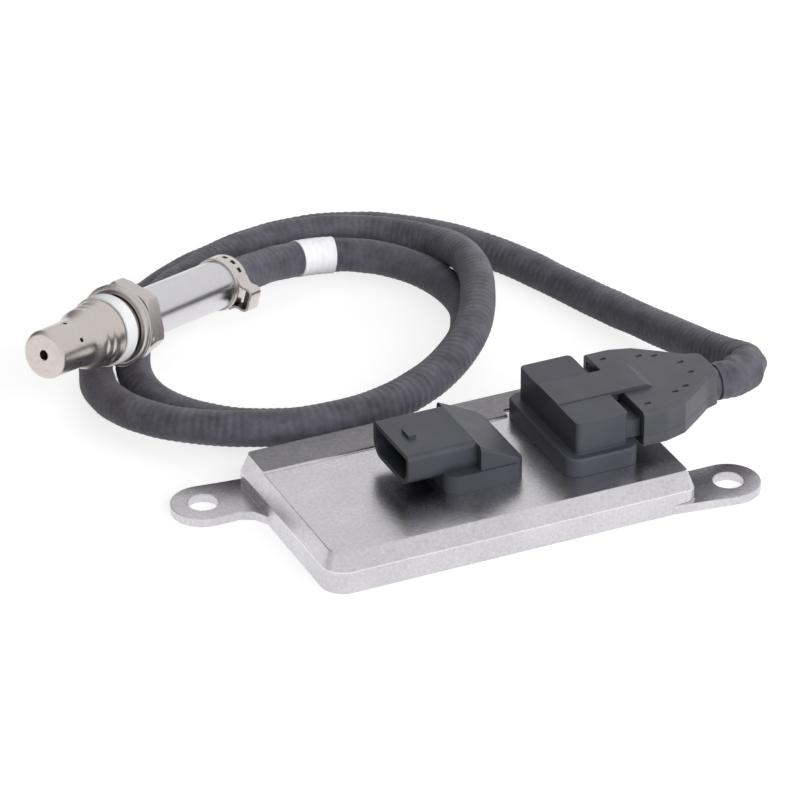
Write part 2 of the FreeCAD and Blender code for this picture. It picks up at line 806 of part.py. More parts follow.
def board_parts():
    """What is soldered to the top of the board."""
    processor = box("processor_chip", "processor_place", "0", "board_top", "processor_side", "processor_side",
                    "processor_height")
    pad_low = "board_top + processor_height"
    pad_side = "processor_side - 2 * gap_pad_inset"
    gap_pad = box("thermal_pad", "processor_place", "0", pad_low, pad_side, pad_side,
                  "unit_height - unit_roof - (%s)" % pad_low)
    driver_place = CAVITY_LENGTH + " / 2 - driver_inset"
    capacitor_row = CAVITY_WIDTH + " / 2 - capacitor_inset"
    drivers = [
        box("driver_%d" % i, driver_place, spread(i, "2", "driver_pitch"), "board_top", "driver_length",
            "driver_width", "driver_height")
        for i in range(2)
    ]
    cans = [
        upright("can_%d" % i, "capacitor_place + %s" % spread(i, "3", "capacitor_pitch"),
                "-(%s)" % capacitor_row, "board_top", "capacitor_radius", "capacitor_height")
        for i in range(3)
    ]
    choke = box("power_inductor", "inductor_place", capacitor_row, "board_top", "inductor_side",
                "inductor_side", "inductor_height")
    return [processor, gap_pad, joined("driver_chips", drivers), joined("capacitors", cans), choke]


# Connectors

def bent_pins(label, root, tip, level, count, pitch):
    """Square pins that stand up from the board, turn and point along X."""
    body = new_body(label)
    profile = sketch_on(body, "PinSide", "XZ_Plane")
    half = "pin_side / 2"
    away = "1" if size(tip) > size(root) else "-1"
    foot = "board_top - board_thickness - pin_tail"
    add_outline(profile, [
        ("%s - %s * %s" % (root, away, half), foot),
        ("%s + %s * %s" % (root, away, half), foot),
        ("%s + %s * %s" % (root, away, half), "%s - %s" % (level, half)),
        (tip, "%s - %s" % (level, half)),
        (tip, "%s + %s" % (level, half)),
        ("%s - %s * %s" % (root, away, half), "%s + %s" % (level, half)),
    ])
    feature = pad(body, profile, "pin_side", midplane=True)
    # The first pin moves to the end of the row and the pattern fills the rest.
    bind(profile, AttachmentOffset__Base__z="((%s) - 1) / 2 * (%s)" % (count, pitch))
    doc.recompute()
    pattern_row(body, [feature], "Y_Axis", "((%s) - 1) * (%s)" % (count, pitch), count)
    return body


def vehicle_header(pins, seal):
    body = new_body("vehicle_header_moulding")
    flange = sketch_on(body, "Flange", "XY_Plane", "unit_height")
    rounded_rectangle(flange, "vehicle_flange_length", "vehicle_flange_width", "vehicle_flange_radius",
                      "vehicle_flange_place")
    pad(body, flange, "vehicle_flange_height")
    boss = sketch_on(body, "Boss", "XY_Plane", "unit_height - unit_roof")
    add_outline(boss, rectangle("vehicle_flange_place", "0", "vehicle_boss_length", "vehicle_boss_width"))
    pad(body, boss, "unit_roof")

    # The D-shaped barrel: flat on top, with large round corners below.
    side = "vehicle_barrel_width / 2"
    low = "vehicle_barrel_top - vehicle_barrel_height"
    barrel = sketch_on(body, "Barrel", "YZ_Plane", "vehicle_mouth")
    d_outline(barrel, side, low, "vehicle_barrel_top", "vehicle_barrel_low_radius",
              "vehicle_barrel_high_radius")
    pad(body, barrel, "vehicle_barrel_end - vehicle_mouth")

    # Behind the barrel one broad face, as wide as the flange, runs down to the flange's end.
    ramp = new_feature(body, "AdditiveLoft", "Ramp")
    foot = "unit_height + vehicle_flange_height"
    end = "vehicle_flange_place + vehicle_flange_length / 2 - vehicle_ramp_toe"
    steep = ramp_section(body, "RampHead", "vehicle_barrel_end", "vehicle_barrel_top - vehicle_ramp_drop",
                         "vehicle_ramp_bevel")
    flat = ramp_section(body, "RampToe", end, "%s + vehicle_ramp_drop" % foot, "vehicle_ramp_low_bevel")
    ramp.Profile = steep
    ramp.Sections = [flat]
    ramp.Ruled = True
    checked(body, ramp, True)

    latch = sketch_on(body, "LatchBump", "XY_Plane", "vehicle_barrel_top - sink")
    add_outline(latch, rectangle("vehicle_mouth + vehicle_latch_place + vehicle_latch_length / 2", "0",
                                 "vehicle_latch_length", "vehicle_latch_width"))
    pad(body, latch, "vehicle_latch_height + sink")

    socket = sketch_on(body, "Socket", "YZ_Plane", "vehicle_mouth")
    wall = "vehicle_barrel_wall"
    d_outline(socket, side + " - " + wall, low + " + " + wall, "vehicle_barrel_top - " + wall,
              "vehicle_barrel_low_radius - " + wall, "vehicle_barrel_high_radius / 2")
    pocket(body, socket, "vehicle_socket_depth", upwards=True)
    return cut("vehicle_header", body, joined("vehicle_inserts", [pins, seal]))


def ramp_section(body, name, place, top, bevel):
    """A cross-section of the ramp: upright sides and a flat top with both corners bevelled."""
    sketch = sketch_on(body, name, "YZ_Plane", place)
    half = "(vehicle_flange_width / 2 - vehicle_ramp_ledge)"
    low = "unit_height + vehicle_flange_height - sink"
    add_outline(sketch, [
        ("-" + half, low),
        (half, low),
        (half, "%s - %s" % (top, bevel)),
        ("%s - %s" % (half, bevel), top),
        ("%s - %s" % (bevel, half), top),
        ("-" + half, "%s - %s" % (top, bevel)),
    ])
    return sketch


def d_outline(sketch, half_width, low, top, low_radius, top_radius):
    """The barrel's section: four straight sides with large lower and small upper corners."""
    half, floor, roof = size(half_width), size(low), size(top)
    big, small = size(low_radius), size(top_radius)
    lines = [
        ((-half + big, floor), (half - big, floor)),
        ((half, floor + big), (half, roof - small)),
        ((half - small, roof), (-half + small, roof)),
        ((-half, roof - small), (-half, floor + big)),
    ]
    for start, end in lines:
        sketch.addGeometry(Part.LineSegment(Vector(*start, 0), Vector(*end, 0)), False)
    corners = [(half - big, floor + big, big, -90), (half - small, roof - small, small, 0),
               (-half + small, roof - small, small, 90), (-half + big, floor + big, big, 180)]
    for x, y, radius, start in corners:
        circle = Part.Circle(Vector(x, y, 0), Vector(0, 0, 1), radius)
        sketch.addGeometry(Part.ArcOfCircle(circle, math.radians(start), math.radians(start + 90)), False)
    for i in range(4):
        sketch.addConstraint(Sketcher.Constraint("Tangent", i, 2, 4 + i, 1))
        sketch.addConstraint(Sketcher.Constraint("Tangent", 4 + i, 2, (i + 1) % 4, 1))
    for i, kind in enumerate(("Horizontal", "Vertical", "Horizontal", "Vertical")):
        sketch.addConstraint(Sketcher.Constraint(kind, i))
    sketch.addConstraint(Sketcher.Constraint("Equal", 4, 7))
    sketch.addConstraint(Sketcher.Constraint("Equal", 5, 6))
    for arc, text in ((4, low_radius), (5, top_radius)):
        place = sketch.addConstraint(Sketcher.Constraint("Radius", arc, size(text)))
        sketch.setExpression("Constraints[%d]" % place, bound(text))
    walls = [("DistanceY", 0, low), ("DistanceX", 1, half_width), ("DistanceY", 2, top),
             ("DistanceX", 3, "-(%s)" % half_width)]
    for kind, line, text in walls:
        place = sketch.addConstraint(Sketcher.Constraint(kind, -1, 1, line, 1, size(text)))
        sketch.setExpression("Constraints[%d]" % place, bound(text))


def header_seal(label, place, length, width):
    edge = " - 2 * header_seal_edge"
    return ring_plate(label, length + edge, width + edge, "header_seal_edge", "header_seal_width",
                      "unit_height", "header_seal_height", place)


def sensor_header(pins, seal):
    body = new_body("sensor_header_moulding")
    flange = sketch_on(body, "Flange", "XY_Plane", "unit_height")
    rounded_rectangle(flange, "sensor_flange_length", "sensor_flange_width", "sensor_flange_radius",
                      "sensor_flange_place")
    pad(body, flange, "sensor_flange_height")
    bevel_edges(body, "sensor_flange_bevel", lambda e: e.BoundBox.ZMin > size(SENSOR_LOW) - NEAR)
    boss = sketch_on(body, "Boss", "XY_Plane", "unit_height - unit_roof")
    add_outline(boss, rectangle("sensor_flange_place", "0", "sensor_boss_length", "sensor_boss_width"))
    pad(body, boss, "unit_roof")
    block = sketch_on(body, "Block", "XY_Plane", SENSOR_LOW)
    middle = "(sensor_block_start + sensor_block_end) / 2"
    rounded_rectangle(block, "sensor_block_end - sensor_block_start", "sensor_block_width",
                      "sensor_block_radius", middle)
    pad(body, block, "sensor_block_top - (%s)" % SENSOR_LOW)

    groove = sketch_on(body, "SlideGroove", "XY_Plane", "slide_level")
    start, end = "slide_start - slide_gap", "sensor_block_end + past"
    half = "slide_width / 2 + slide_gap"
    add_outline(groove, [(start, "-(%s)" % half), (end, "-(%s)" % half), (end, half), (start, half)])
    pocket(body, groove, "sensor_block_top - slide_level + past", upwards=True)

    socket = sketch_on(body, "Socket", "YZ_Plane", "sensor_block_end + past")
    low = SENSOR_LOW + " + sensor_socket_floor"
    high = "sensor_block_top - sensor_socket_roof"
    half = "sensor_block_width / 2 - sensor_socket_side_wall"
    add_outline(socket, [("-(%s)" % half, low), (half, low), (half, high), ("-(%s)" % half, high)])
    pocket(body, socket, "sensor_socket_depth + past")
    return cut("sensor_header", body, joined("sensor_inserts", [pins, seal]))


# Plug and cable cover

def plug_housing(terminals, seal, front_seal):
    body = new_body("plug_moulding")
    nose_start = "sensor_block_end - sensor_socket_depth + plug_nose_gap"
    nose = sketch_on(body, "Nose", "YZ_Plane", nose_start)
    nose_section(nose, "0")
    pad(body, nose, "sensor_block_end + plug_gap - (%s)" % nose_start)
    collar = sketch_on(body, "Collar", "YZ_Plane", "sensor_block_end + plug_gap")
    half = "plug_collar_width / 2"
    add_outline(collar, [("-" + half, "plug_collar_low"), (half, "plug_collar_low"),
                         (half, "plug_collar_top"), ("-" + half, "plug_collar_top")])
    pad(body, collar, "plug_collar_end - sensor_block_end - plug_gap")
    rear = sketch_on(body, "Rear", "YZ_Plane", "plug_collar_end")
    half = PLUG_REAR_HALF
    add_outline(rear, [("-" + half, "plug_rear_low"), (half, "plug_rear_low"),
                       (half, "plug_rear_top"), ("-" + half, "plug_rear_top")])
    pad(body, rear, "plug_rear_end - plug_collar_end")

    channels = sketch_on(body, "TerminalChannels", "YZ_Plane", nose_start)
    for i in range(SIZES["sensor_pin_count"]):
        add_circle(channels, spread(i, "sensor_pin_count", "sensor_pin_pitch"), "sensor_pin_level",
                   "terminal_radius + terminal_gap")
    pocket(body, channels, "plug_rear_end - (%s)" % nose_start, upwards=True)
    well = sketch_on(body, "SealWell", "YZ_Plane", "plug_rear_end")
    seal_section(well)
    pocket(body, well, "wire_seal_length")
    groove = sketch_on(body, "FrontSealGroove", "YZ_Plane", "sensor_block_end - front_seal_setback")
    nose_section(groove, "0")
    nose_section(groove, "front_seal_thickness")
    pocket(body, groove, "front_seal_length", upwards=True)
    body.Label = "plug_housing"
    return body


def nose_section(sketch, inset):
    """The plug's nose, or the same outline drawn in by the seal's thickness."""
    low = SENSOR_LOW + " + sensor_socket_floor + plug_gap + " + inset
    high = "sensor_block_top - sensor_socket_roof - plug_gap - " + inset
    half = "sensor_block_width / 2 - sensor_socket_side_wall - plug_gap - " + inset
    add_outline(sketch, [("-(%s)" % half, low), (half, low), (half, high), ("-(%s)" % half, high)])


def seal_section(sketch):
    low = "sensor_pin_level - wire_seal_height / 2"
    high = "sensor_pin_level + wire_seal_height / 2"
    half = "wire_seal_width / 2"
    add_outline(sketch, [("-" + half, low), (half, low), (half, high), ("-" + half, high)])


def front_seal():
    body = new_body("plug_front_seal")
    ring = sketch_on(body, "Ring", "YZ_Plane", "sensor_block_end - front_seal_setback")
    nose_section(ring, "0")
    nose_section(ring, "front_seal_thickness")
    pad(body, ring, "front_seal_length")
    return body


def wire_seal():
    body = new_body("plug_wire_seal")
    block = sketch_on(body, "Block", "YZ_Plane", "plug_rear_end - wire_seal_length")
    seal_section(block)
    for i in range(SIZES["sensor_pin_count"]):
        add_circle(block, spread(i, "sensor_pin_count", "sensor_pin_pitch"), "sensor_pin_level",
                   "wire_radius")
    pad(body, block, "wire_seal_length")
    return body


def plug_terminals():
    body = new_body("plug_terminals")
    start = TERMINAL_START
    ring = sketch_on(body, "Socket", "YZ_Plane", start)
    place = spread(0, "sensor_pin_count", "sensor_pin_pitch")
    add_circle(ring, place, "sensor_pin_level", "terminal_radius")
    add_circle(ring, place, "sensor_pin_level", "terminal_bore")
    first = pad(body, ring, "terminal_length")
    pattern_row(body, [first], "Y_Axis", "(sensor_pin_count - 1) * sensor_pin_pitch", "sensor_pin_count")
    return body


def plug_wires():
    """Each wire leaves its terminal, passes the seal and closes in on the cable's end."""
    start = size(TERMINAL_START + " + terminal_length - wire_crimp_length")
    bend, gather = size("plug_rear_end + wire_straight"), size("shell_throat_place - wire_gather")
    end, radius = size("neck_end"), size("wire_radius")
    level, centre, squeeze = size("sensor_pin_level"), size("cable_exit_level"), size("wire_squeeze")
    offset = size("wire_radius * wire_row_share")
    wires = []
    for i in range(SIZES["sensor_pin_count"]):
        y = size(spread(i, "sensor_pin_count", "sensor_pin_pitch"))
        row = centre + (offset if i % 2 else -offset)
        points = [Vector(start, y, level), Vector(bend, y, level), Vector(gather, y * squeeze, row),
                  Vector(end, y * squeeze, row)]
        wire, _ = tube(rounded_path(points)[0], radius)
        wires.append(wire)
    return plain("plug_wires", Part.makeCompound(wires))


def lock_slide():
    body = new_body("plug_lock_slide")
    side = sketch_on(body, "SlideSide", "XZ_Plane")
    top = "slide_level + slide_thickness"
    add_outline(side, [
        ("slide_start", "slide_level"),
        ("slide_end", "slide_level"),
        ("slide_end - slide_ramp", top),
        ("slide_start", top),
    ])
    pad(body, side, "slide_width", midplane=True)
    foot = sketch_on(body, "Foot", "XY_Plane", "plug_collar_top")
    add_outline(foot, rectangle("(slide_foot_start + slide_foot_end) / 2", "0",
                                "slide_foot_end - slide_foot_start", "slide_foot_width"))
    pad(body, foot, "slide_level - plug_collar_top")
    return body


def cover_outline(inset):
    """Half of the cable cover's outline from above, as points from the front to the cable's end."""
    drawn = " - (%s)" % inset
    between = "shell_throat_half + (shell_half_width - shell_throat_half) * %s"
    return [
        ("shell_start", "shell_half_width" + drawn),
        ("shell_shoulder", "shell_half_width" + drawn),
        ("shell_bend_place", between % "shell_bend_share" + drawn),
        ("shell_waist_place", between % "shell_waist_share" + drawn),
        ("shell_throat_place", "shell_throat_half" + drawn),
        ("shell_end" + drawn, "shell_end_half" + drawn),
    ]


def whole_outline(inset):
    half = cover_outline(inset)
    return half + [(x, "-(%s)" % y) for x, y in reversed(half)]


# Small slots through the cover's top, measured from its front edge and its middle line.
SLOT_PLACES = [
    ("3.4", "shell_half_width - 4.8"),
    ("13.1", "shell_half_width - 7.4"),
    ("17.0", "shell_half_width - 9.0"),
    ("21.9", "3.0"),
]


def cable_cover(label, low, high, is_upper):
    body = new_body(label)
    outline = sketch_on(body, "CoverOutline", "XY_Plane", low)
    add_outline(outline, whole_outline("0"))
    pad(body, outline, "%s - (%s)" % (high, low))
    front = size("shell_start") + NEAR
    round_edges(body, "shell_corner_radius", lambda e: straight_along(e, AXIS_Z) and e.BoundBox.XMin > front)
    if is_upper:
        roof = size(high) - NEAR
        bevel_edges(body, "shell_ledge", lambda e: e.BoundBox.ZMin > roof and e.BoundBox.XMax > front)
    inside_low = low if is_upper else "%s + shell_floor" % low
    inside_high = "%s - shell_wall" % high if is_upper else high
    hollow = sketch_on(body, "CoverHollow", "XY_Plane", inside_low)
    half = cover_outline("shell_wall")
    half[0] = ("shell_start - past", half[0][1])
    add_outline(hollow, half + [(x, "-(%s)" % y) for x, y in reversed(half)])
    pocket(body, hollow, "%s - (%s)" % (inside_high, inside_low), upwards=True)

    neck = sketch_on(body, "Neck", "YZ_Plane", "shell_end - shell_wall")
    half_disc(neck, "neck_radius", is_upper)
    pad(body, neck, "neck_end - shell_end + shell_wall")
    bore = sketch_on(body, "NeckBore", "YZ_Plane", "neck_end")
    half_disc(bore, "neck_bore", is_upper)
    pocket(body, bore, "neck_end - shell_end + 2 * shell_wall")
    if is_upper:
        slots = sketch_on(body, "SlotWindows", "XY_Plane", high)
        for x, y in SLOT_PLACES:
            for sign in (1, -1):
                place = "%d * (%s)" % (sign, y)
                add_outline(slots, rectangle("shell_start + " + x, place, "slot_length", "slot_width"))
        pocket(body, slots, "shell_wall")
    return body


def half_disc(sketch, radius, upper):
    """A half circle about the cable's axis, above or below the parting line."""
    reach, level = size(radius), size("cable_exit_level")
    circle = Part.Circle(Vector(0, level, 0), Vector(0, 0, 1), reach)
    start, end = (0, math.pi) if upper else (math.pi, 2 * math.pi)
    sketch.addGeometry(Part.ArcOfCircle(circle, start, end), False)
    ends = (reach, -reach) if upper else (-reach, reach)
    line = Part.LineSegment(Vector(ends[1], level, 0), Vector(ends[0], level, 0))
    sketch.addGeometry(line, False)
    sketch.addConstraint(Sketcher.Constraint("Coincident", 0, 2, 1, 1))
    sketch.addConstraint(Sketcher.Constraint("Coincident", 1, 2, 0, 1))
    sketch.addConstraint(Sketcher.Constraint("Horizontal", 1))
    sketch.addConstraint(Sketcher.Constraint("PointOnObject", 0, 3, 1))
    sketch.addConstraint(Sketcher.Constraint("PointOnObject", 0, 3, -2))
    place = sketch.addConstraint(Sketcher.Constraint("DistanceY", -1, 1, 0, 3, level))
    sketch.setExpression("Constraints[%d]" % place, bound("cable_exit_level"))
    place = sketch.addConstraint(Sketcher.Constraint("Radius", 0, reach))
    sketch.setExpression("Constraints[%d]" % place, bound(radius))


# Cable

def probe_point(distance):
    """A point on the probe's axis, by its distance from the tip."""
    yaw, pitch = math.radians(size("probe_yaw_deg")), math.radians(size("probe_pitch_deg"))
    axis = Vector(math.sin(pitch) * math.cos(yaw), math.sin(pitch) * math.sin(yaw), math.cos(pitch))
    tip = Vector(size("probe_tip_x"), size("probe_tip_y"), size("probe_tip_z"))
    return tip + axis * distance


def route_points():
    points = [Vector(*place) for place in ROUTE]
    start = Vector(size("neck_end"), 0, size("cable_exit_level"))
    points[0] = start
    points[1] = Vector(points[1].x, 0, start.z)
    end = size("grommet_end")
    return points + [probe_point(end + PROBE_END_RUN), probe_point(end)]


def rounded_path(points):
    """Straight runs joined by arcs that are as large as the two runs beside each point allow."""
    edges, radii = [], []
    here = points[0]
    for before, corner, after in zip(points, points[1:], points[2:]):
        back, ahead = (before - corner), (after - corner)
        run = ARC_SHARE * min(back.Length, ahead.Length)
        turn = math.pi - back.getAngle(ahead)
        start = corner + back.normalize() * run
        end = corner + ahead.normalize() * run
        inward = (back + ahead).normalize()
        radius = run / math.tan(turn / 2)
        depth = radius / math.cos(turn / 2) - radius
        middle = corner + inward * depth
        edges.append(Part.LineSegment(here, start).toShape())
        edges.append(Part.Arc(start, middle, end).toShape())
        radii.append(radius)
        here = end
    edges.append(Part.LineSegment(here, points[-1]).toShape())
    return edges, radii


def tube(edges, radius):
    path = Part.Wire(edges)
    first = path.Edges[0]
    start = first.valueAt(first.FirstParameter)
    direction = first.tangentAt(first.FirstParameter)
    ring = Part.Wire([Part.makeCircle(radius, start, direction)])
    return path.makePipeShell([ring], True, False), path


def cable():
    edges, radii = rounded_path(route_points())
    shape, path = tube(edges, size("cable_radius"))
    expected = math.pi * size("cable_radius") ** 2 * path.Length
    print("cable length %.1f, volume %.0f of %.0f" % (path.Length, shape.Volume, expected))
    print("cable radii", " ".join("%.0f" % radius for radius in radii))
    if abs(shape.Volume - expected) > 0.01 * expected:
        raise RuntimeError("the cable's tube is not its section times its length")
    return plain("cable", shape), edges


def cable_label(edges):
    """A plain white band wrapped round the cable just before the probe."""
    run = edges[-5]
    before, after = edges[-6], edges[-4]
    reach, shift = (size("label_length") - run.Length) / 2, size("label_shift")
    back, ahead = (reach - shift) / before.Curve.Radius, (reach + shift) / after.Curve.Radius
    first = before.Curve.toShape(before.LastParameter - back, before.LastParameter)
    last = after.Curve.toShape(after.FirstParameter, after.FirstParameter + ahead)
    path = [first, run, last]
    inner = size("cable_radius + label_gap")
    outside, _ = tube(path, inner + size("label_thickness"))
    inside, _ = tube(path, inner)
    return plain("cable_label", outside.cut(inside))


# Probe. Each piece is drawn about Z with z = 0 at the tip.

def turned(label, points):
    """A piece turned on a lathe: its half section as (radius, distance from the tip)."""
    body = new_body(label, on_probe=True)
    section = sketch_on(body, "HalfSection", "XZ_Plane")
    add_outline(section, points)
    revolve(body, section)
    return body


def outer_tube():
    inner = "tube_radius - tube_wall"
    body = turned("outer_protection_tube", [
        ("tube_hole_radius", "0"),
        ("tube_radius - tube_tip_radius", "0"),
        ("tube_radius", "tube_tip_radius"),
        ("tube_radius", "flare_start"),
        ("flare_radius", "flare_end"),
        ("flare_radius", "collar_start"),
        ("collar_radius", "collar_start + collar_step"),
        ("collar_radius", "collar_end - turned_edge"),
        ("collar_radius - turned_edge", "collar_end"),
        ("inner_tube_radius + inner_tube_gap", "collar_end"),
        ("inner_tube_radius + inner_tube_gap", "collar_end - collar_floor"),
        ("flare_radius - tube_wall", "collar_end - collar_floor"),
        ("flare_radius - tube_wall", "flare_end + tube_wall / 2"),
        (inner, "flare_start + tube_wall / 2"),
        (inner, "tube_wall"),
        ("tube_hole_radius", "tube_wall"),
    ])
    side = sketch_on(body, "SideHole", "YZ_Plane")
    add_circle(side, "0", "tube_side_hole_place", "tube_side_hole_radius")
    hole = pocket(body, side, "tube_radius + past", upwards=True)
    pattern_round(body, [hole], "tube_side_hole_count")
    return body


def inner_tube():
    start, end = "inner_tube_start", "inner_tube_end"
    inner = "inner_tube_radius - inner_tube_wall"
    body = turned("inner_protection_tube", [
        ("inner_tip_hole_radius", start),
        ("inner_tube_radius", start),
        ("inner_tube_radius", end + " - inner_flange_thickness"),
        ("body_bore - bore_gap", end + " - inner_flange_thickness"),
        ("body_bore - bore_gap", end),
        (inner, end),
        (inner, start + " + inner_tube_wall"),
        ("inner_tip_hole_radius", start + " + inner_tube_wall"),
    ])
    side = sketch_on(body, "SideHole", "YZ_Plane")
    add_circle(side, "0", "inner_side_hole_place", "inner_side_hole_radius")
    hole = pocket(body, side, "inner_tube_radius + past", upwards=True)
    pattern_round(body, [hole], "tube_side_hole_count")
    return body


def probe_body():
    body = turned("probe_body", [
        ("body_bore", "collar_end"),
        ("thread_root_radius", "collar_end"),
        ("thread_root_radius", "thread_end"),
        ("undercut_radius", "thread_end + undercut_run"),
        ("undercut_radius", "gasket_end"),
        ("hex_chamfer_radius - hex_step", "gasket_end"),
        ("hex_chamfer_radius - hex_step", "hex_start"),
        ("body_tail_radius", "hex_start"),
        ("body_tail_radius", "body_end"),
        ("body_bore", "body_end"),
    ])
    hexagon = sketch_on(body, "Hexagon", "XY_Plane", "hex_start")
    corner = "hex_across_flats / 2 / cos(30)"
    corners = []
    for i in range(6):
        turn = "hex_turn_deg + %d" % (60 * i)
        corners.append(("%s * sin(%s)" % (corner, turn), "-(%s) * cos(%s)" % (corner, turn)))
    add_outline(hexagon, corners)
    add_circle(hexagon, "0", "0", "body_tail_radius - sink")
    pad(body, hexagon, "hex_end - hex_start")
    # Both ends of the hexagon are turned off at its corners.
    section = sketch_on(body, "HexagonBevel", "XZ_Plane")
    reach = corner + " + past"
    slope = "(%s - hex_chamfer_radius) * hex_chamfer_share" % reach
    add_outline(section, [("hex_chamfer_radius", "hex_start"), (reach, "hex_start"),
                          (reach, "hex_start + " + slope)])
    add_outline(section, [("hex_chamfer_radius", "hex_end"), (reach, "hex_end"),
                          (reach, "hex_end - " + slope)])
    groove = new_feature(body, "Groove", "HexagonCorners")
    groove.Profile = section
    groove.ReferenceAxis = (section, ["V_Axis"])
    groove.Angle = 360.0
    checked(body, groove, False)
    return body


def rings():
    """The white compound over the thread, and the captive gasket in front of the hexagon."""
    compound = turned("thread_compound", [
        ("thread_root_radius", "thread_start"),
        ("thread_radius - turned_edge", "thread_start"),
        ("thread_radius", "thread_start + turned_edge"),
        ("thread_radius", "thread_end - turned_edge"),
        ("thread_radius - turned_edge", "thread_end"),
        ("thread_root_radius", "thread_end"),
    ])
    gasket = turned("sealing_ring", [
        ("undercut_radius + gasket_gap", "gasket_start + gasket_bevel / 2"),
        ("gasket_radius - gasket_bevel", "gasket_start"),
        ("gasket_radius", "gasket_start + gasket_bevel"),
        ("gasket_radius", "gasket_end - gasket_bevel"),
        ("gasket_radius - gasket_bevel", "gasket_end"),
        ("undercut_radius + gasket_gap", "gasket_end"),
    ])
    return [compound, gasket]


def slotted(label, radius, start, end):
    """A ceramic or powder bush with the sensor element's slot through it."""
    body = new_body(label, on_probe=True)
    disc = sketch_on(body, "Disc", "XY_Plane", start)
    add_circle(disc, "0", "0", radius)
    add_outline(disc, rectangle("0", "0", "element_thickness", "element_width"))
    pad(body, disc, "%s - (%s)" % (end, start))
    return body


def sensor_core():
    element = new_body("sensor_element", on_probe=True)
    strip = sketch_on(element, "Strip", "XY_Plane", "element_start")
    add_outline(strip, rectangle("0", "0", "element_thickness", "element_width"))
    pad(element, strip, "element_end - element_start")
    front = slotted("front_insulator", "insulator_radius", "inner_tube_end", "front_insulator_end")
    talc = slotted("talc_packing", "body_bore", "front_insulator_end", "talc_end")
    rear = slotted("rear_insulator", "insulator_radius", "talc_end", "rear_insulator_end")

    carrier = new_body("contact_carrier", on_probe=True)
    disc = sketch_on(carrier, "Disc", "XY_Plane", "rear_insulator_end")
    add_circle(disc, "0", "0", "carrier_radius")
    add_outline(disc, rectangle("0", "0", "element_thickness + 2 * contact_thickness",
                                "element_width + contact_slot_gap"))
    pad(carrier, disc, "carrier_end - carrier_cap - rear_insulator_end")
    cap = sketch_on(carrier, "Cap", "XY_Plane", "carrier_end - carrier_cap")
    add_circle(cap, "0", "0", "carrier_radius")
    pad(carrier, cap, "carrier_cap")
    strips = []
    for i in range(4):
        for side in (1, -1):
            strip = new_body("contact_%d_%s" % (i, "front" if side > 0 else "back"))
            foot = sketch_on(strip, "Strip", "XY_Plane", "rear_insulator_end")
            place = "%d * (element_thickness + contact_thickness) / 2" % side
            add_outline(foot, rectangle(place, spread(i, "4", "contact_pitch"), "contact_thickness",
                                        "contact_width"))
            pad(strip, foot, "contact_length")
            strips.append(strip)
    contacts = joined("contact_strips", strips)
    seat(contacts)
    return [element, front, talc, rear, carrier, contacts]


def steel_sleeve():
    inner = "sleeve_radius - sleeve_wall"
    return turned("steel_sleeve", [
        ("body_tail_radius", "hex_end"),
        ("sleeve_radius", "hex_end"),
        ("sleeve_radius", "sleeve_end"),
        ("cable_radius + cable_gap", "sleeve_end"),
        ("cable_radius + cable_gap", "sleeve_end - sleeve_lip"),
        (inner, "sleeve_end - sleeve_lip"),
        (inner, "body_end"),
        ("body_tail_radius", "body_end"),
    ])


def leads_and_grommet():
    grommet = new_body("cable_grommet", on_probe=True)
    disc = sketch_on(grommet, "Disc", "XY_Plane", "grommet_start")
    add_circle(disc, "0", "0", "grommet_radius")
    pad(grommet, disc, "grommet_end - grommet_start")
    hole = sketch_on(grommet, "LeadHole", "XY_Plane", "grommet_end")
    add_circle(hole, "lead_circle", "0", "lead_radius")
    first = pocket(grommet, hole, "grommet_end - grommet_start")
    pattern_round(grommet, [first], "lead_count")

    leads = new_body("probe_leads", on_probe=True)
    rod = sketch_on(leads, "Lead", "XY_Plane", "carrier_end")
    add_circle(rod, "lead_circle", "0", "lead_radius")
    first = pad(leads, rod, "grommet_end - carrier_end")
    pattern_round(leads, [first], "lead_count")
    return [grommet, leads]


def clamp_band():
    """A crimped ear clamp: a steel band with its folded ear standing out to one side."""
    body = turned("clamp_band", [
        ("sleeve_radius", "clamp_start"),
        ("clamp_radius", "clamp_start"),
        ("clamp_radius", "clamp_end"),
        ("cable_radius + cable_gap", "clamp_end"),
        ("cable_radius + cable_gap", "sleeve_end"),
        ("sleeve_radius", "sleeve_end"),
    ])
    ear = sketch_on(body, "Ear", "XY_Plane", "(clamp_start + clamp_end) / 2 - clamp_ear_width / 2")
    half = "clamp_ear_length / 2"
    foot = "clamp_ear_sink - clamp_radius"
    head = "-clamp_radius - clamp_ear_height"
    wall, bevel = "clamp_ear_wall", "clamp_ear_bevel"
    add_outline(ear, [
        (half, foot),
        (half, "%s + %s" % (head, bevel)),
        ("%s - %s" % (half, bevel), head),
        ("%s - %s" % (bevel, half), head),
        ("-(%s)" % half, "%s + %s" % (head, bevel)),
        ("-(%s)" % half, foot),
        ("%s - (%s)" % (wall, half), foot),
        ("%s - (%s)" % (wall, half), head + " + " + wall),
        ("%s - %s" % (half, wall), head + " + " + wall),
        ("%s - %s" % (half, wall), foot),
    ])
    pad(body, ear, "clamp_ear_width")
    return body


housing = unit_housing()
parts = [housing, unit_cover(), unit_seal(), circuit_board(), board_screws()] + board_parts()

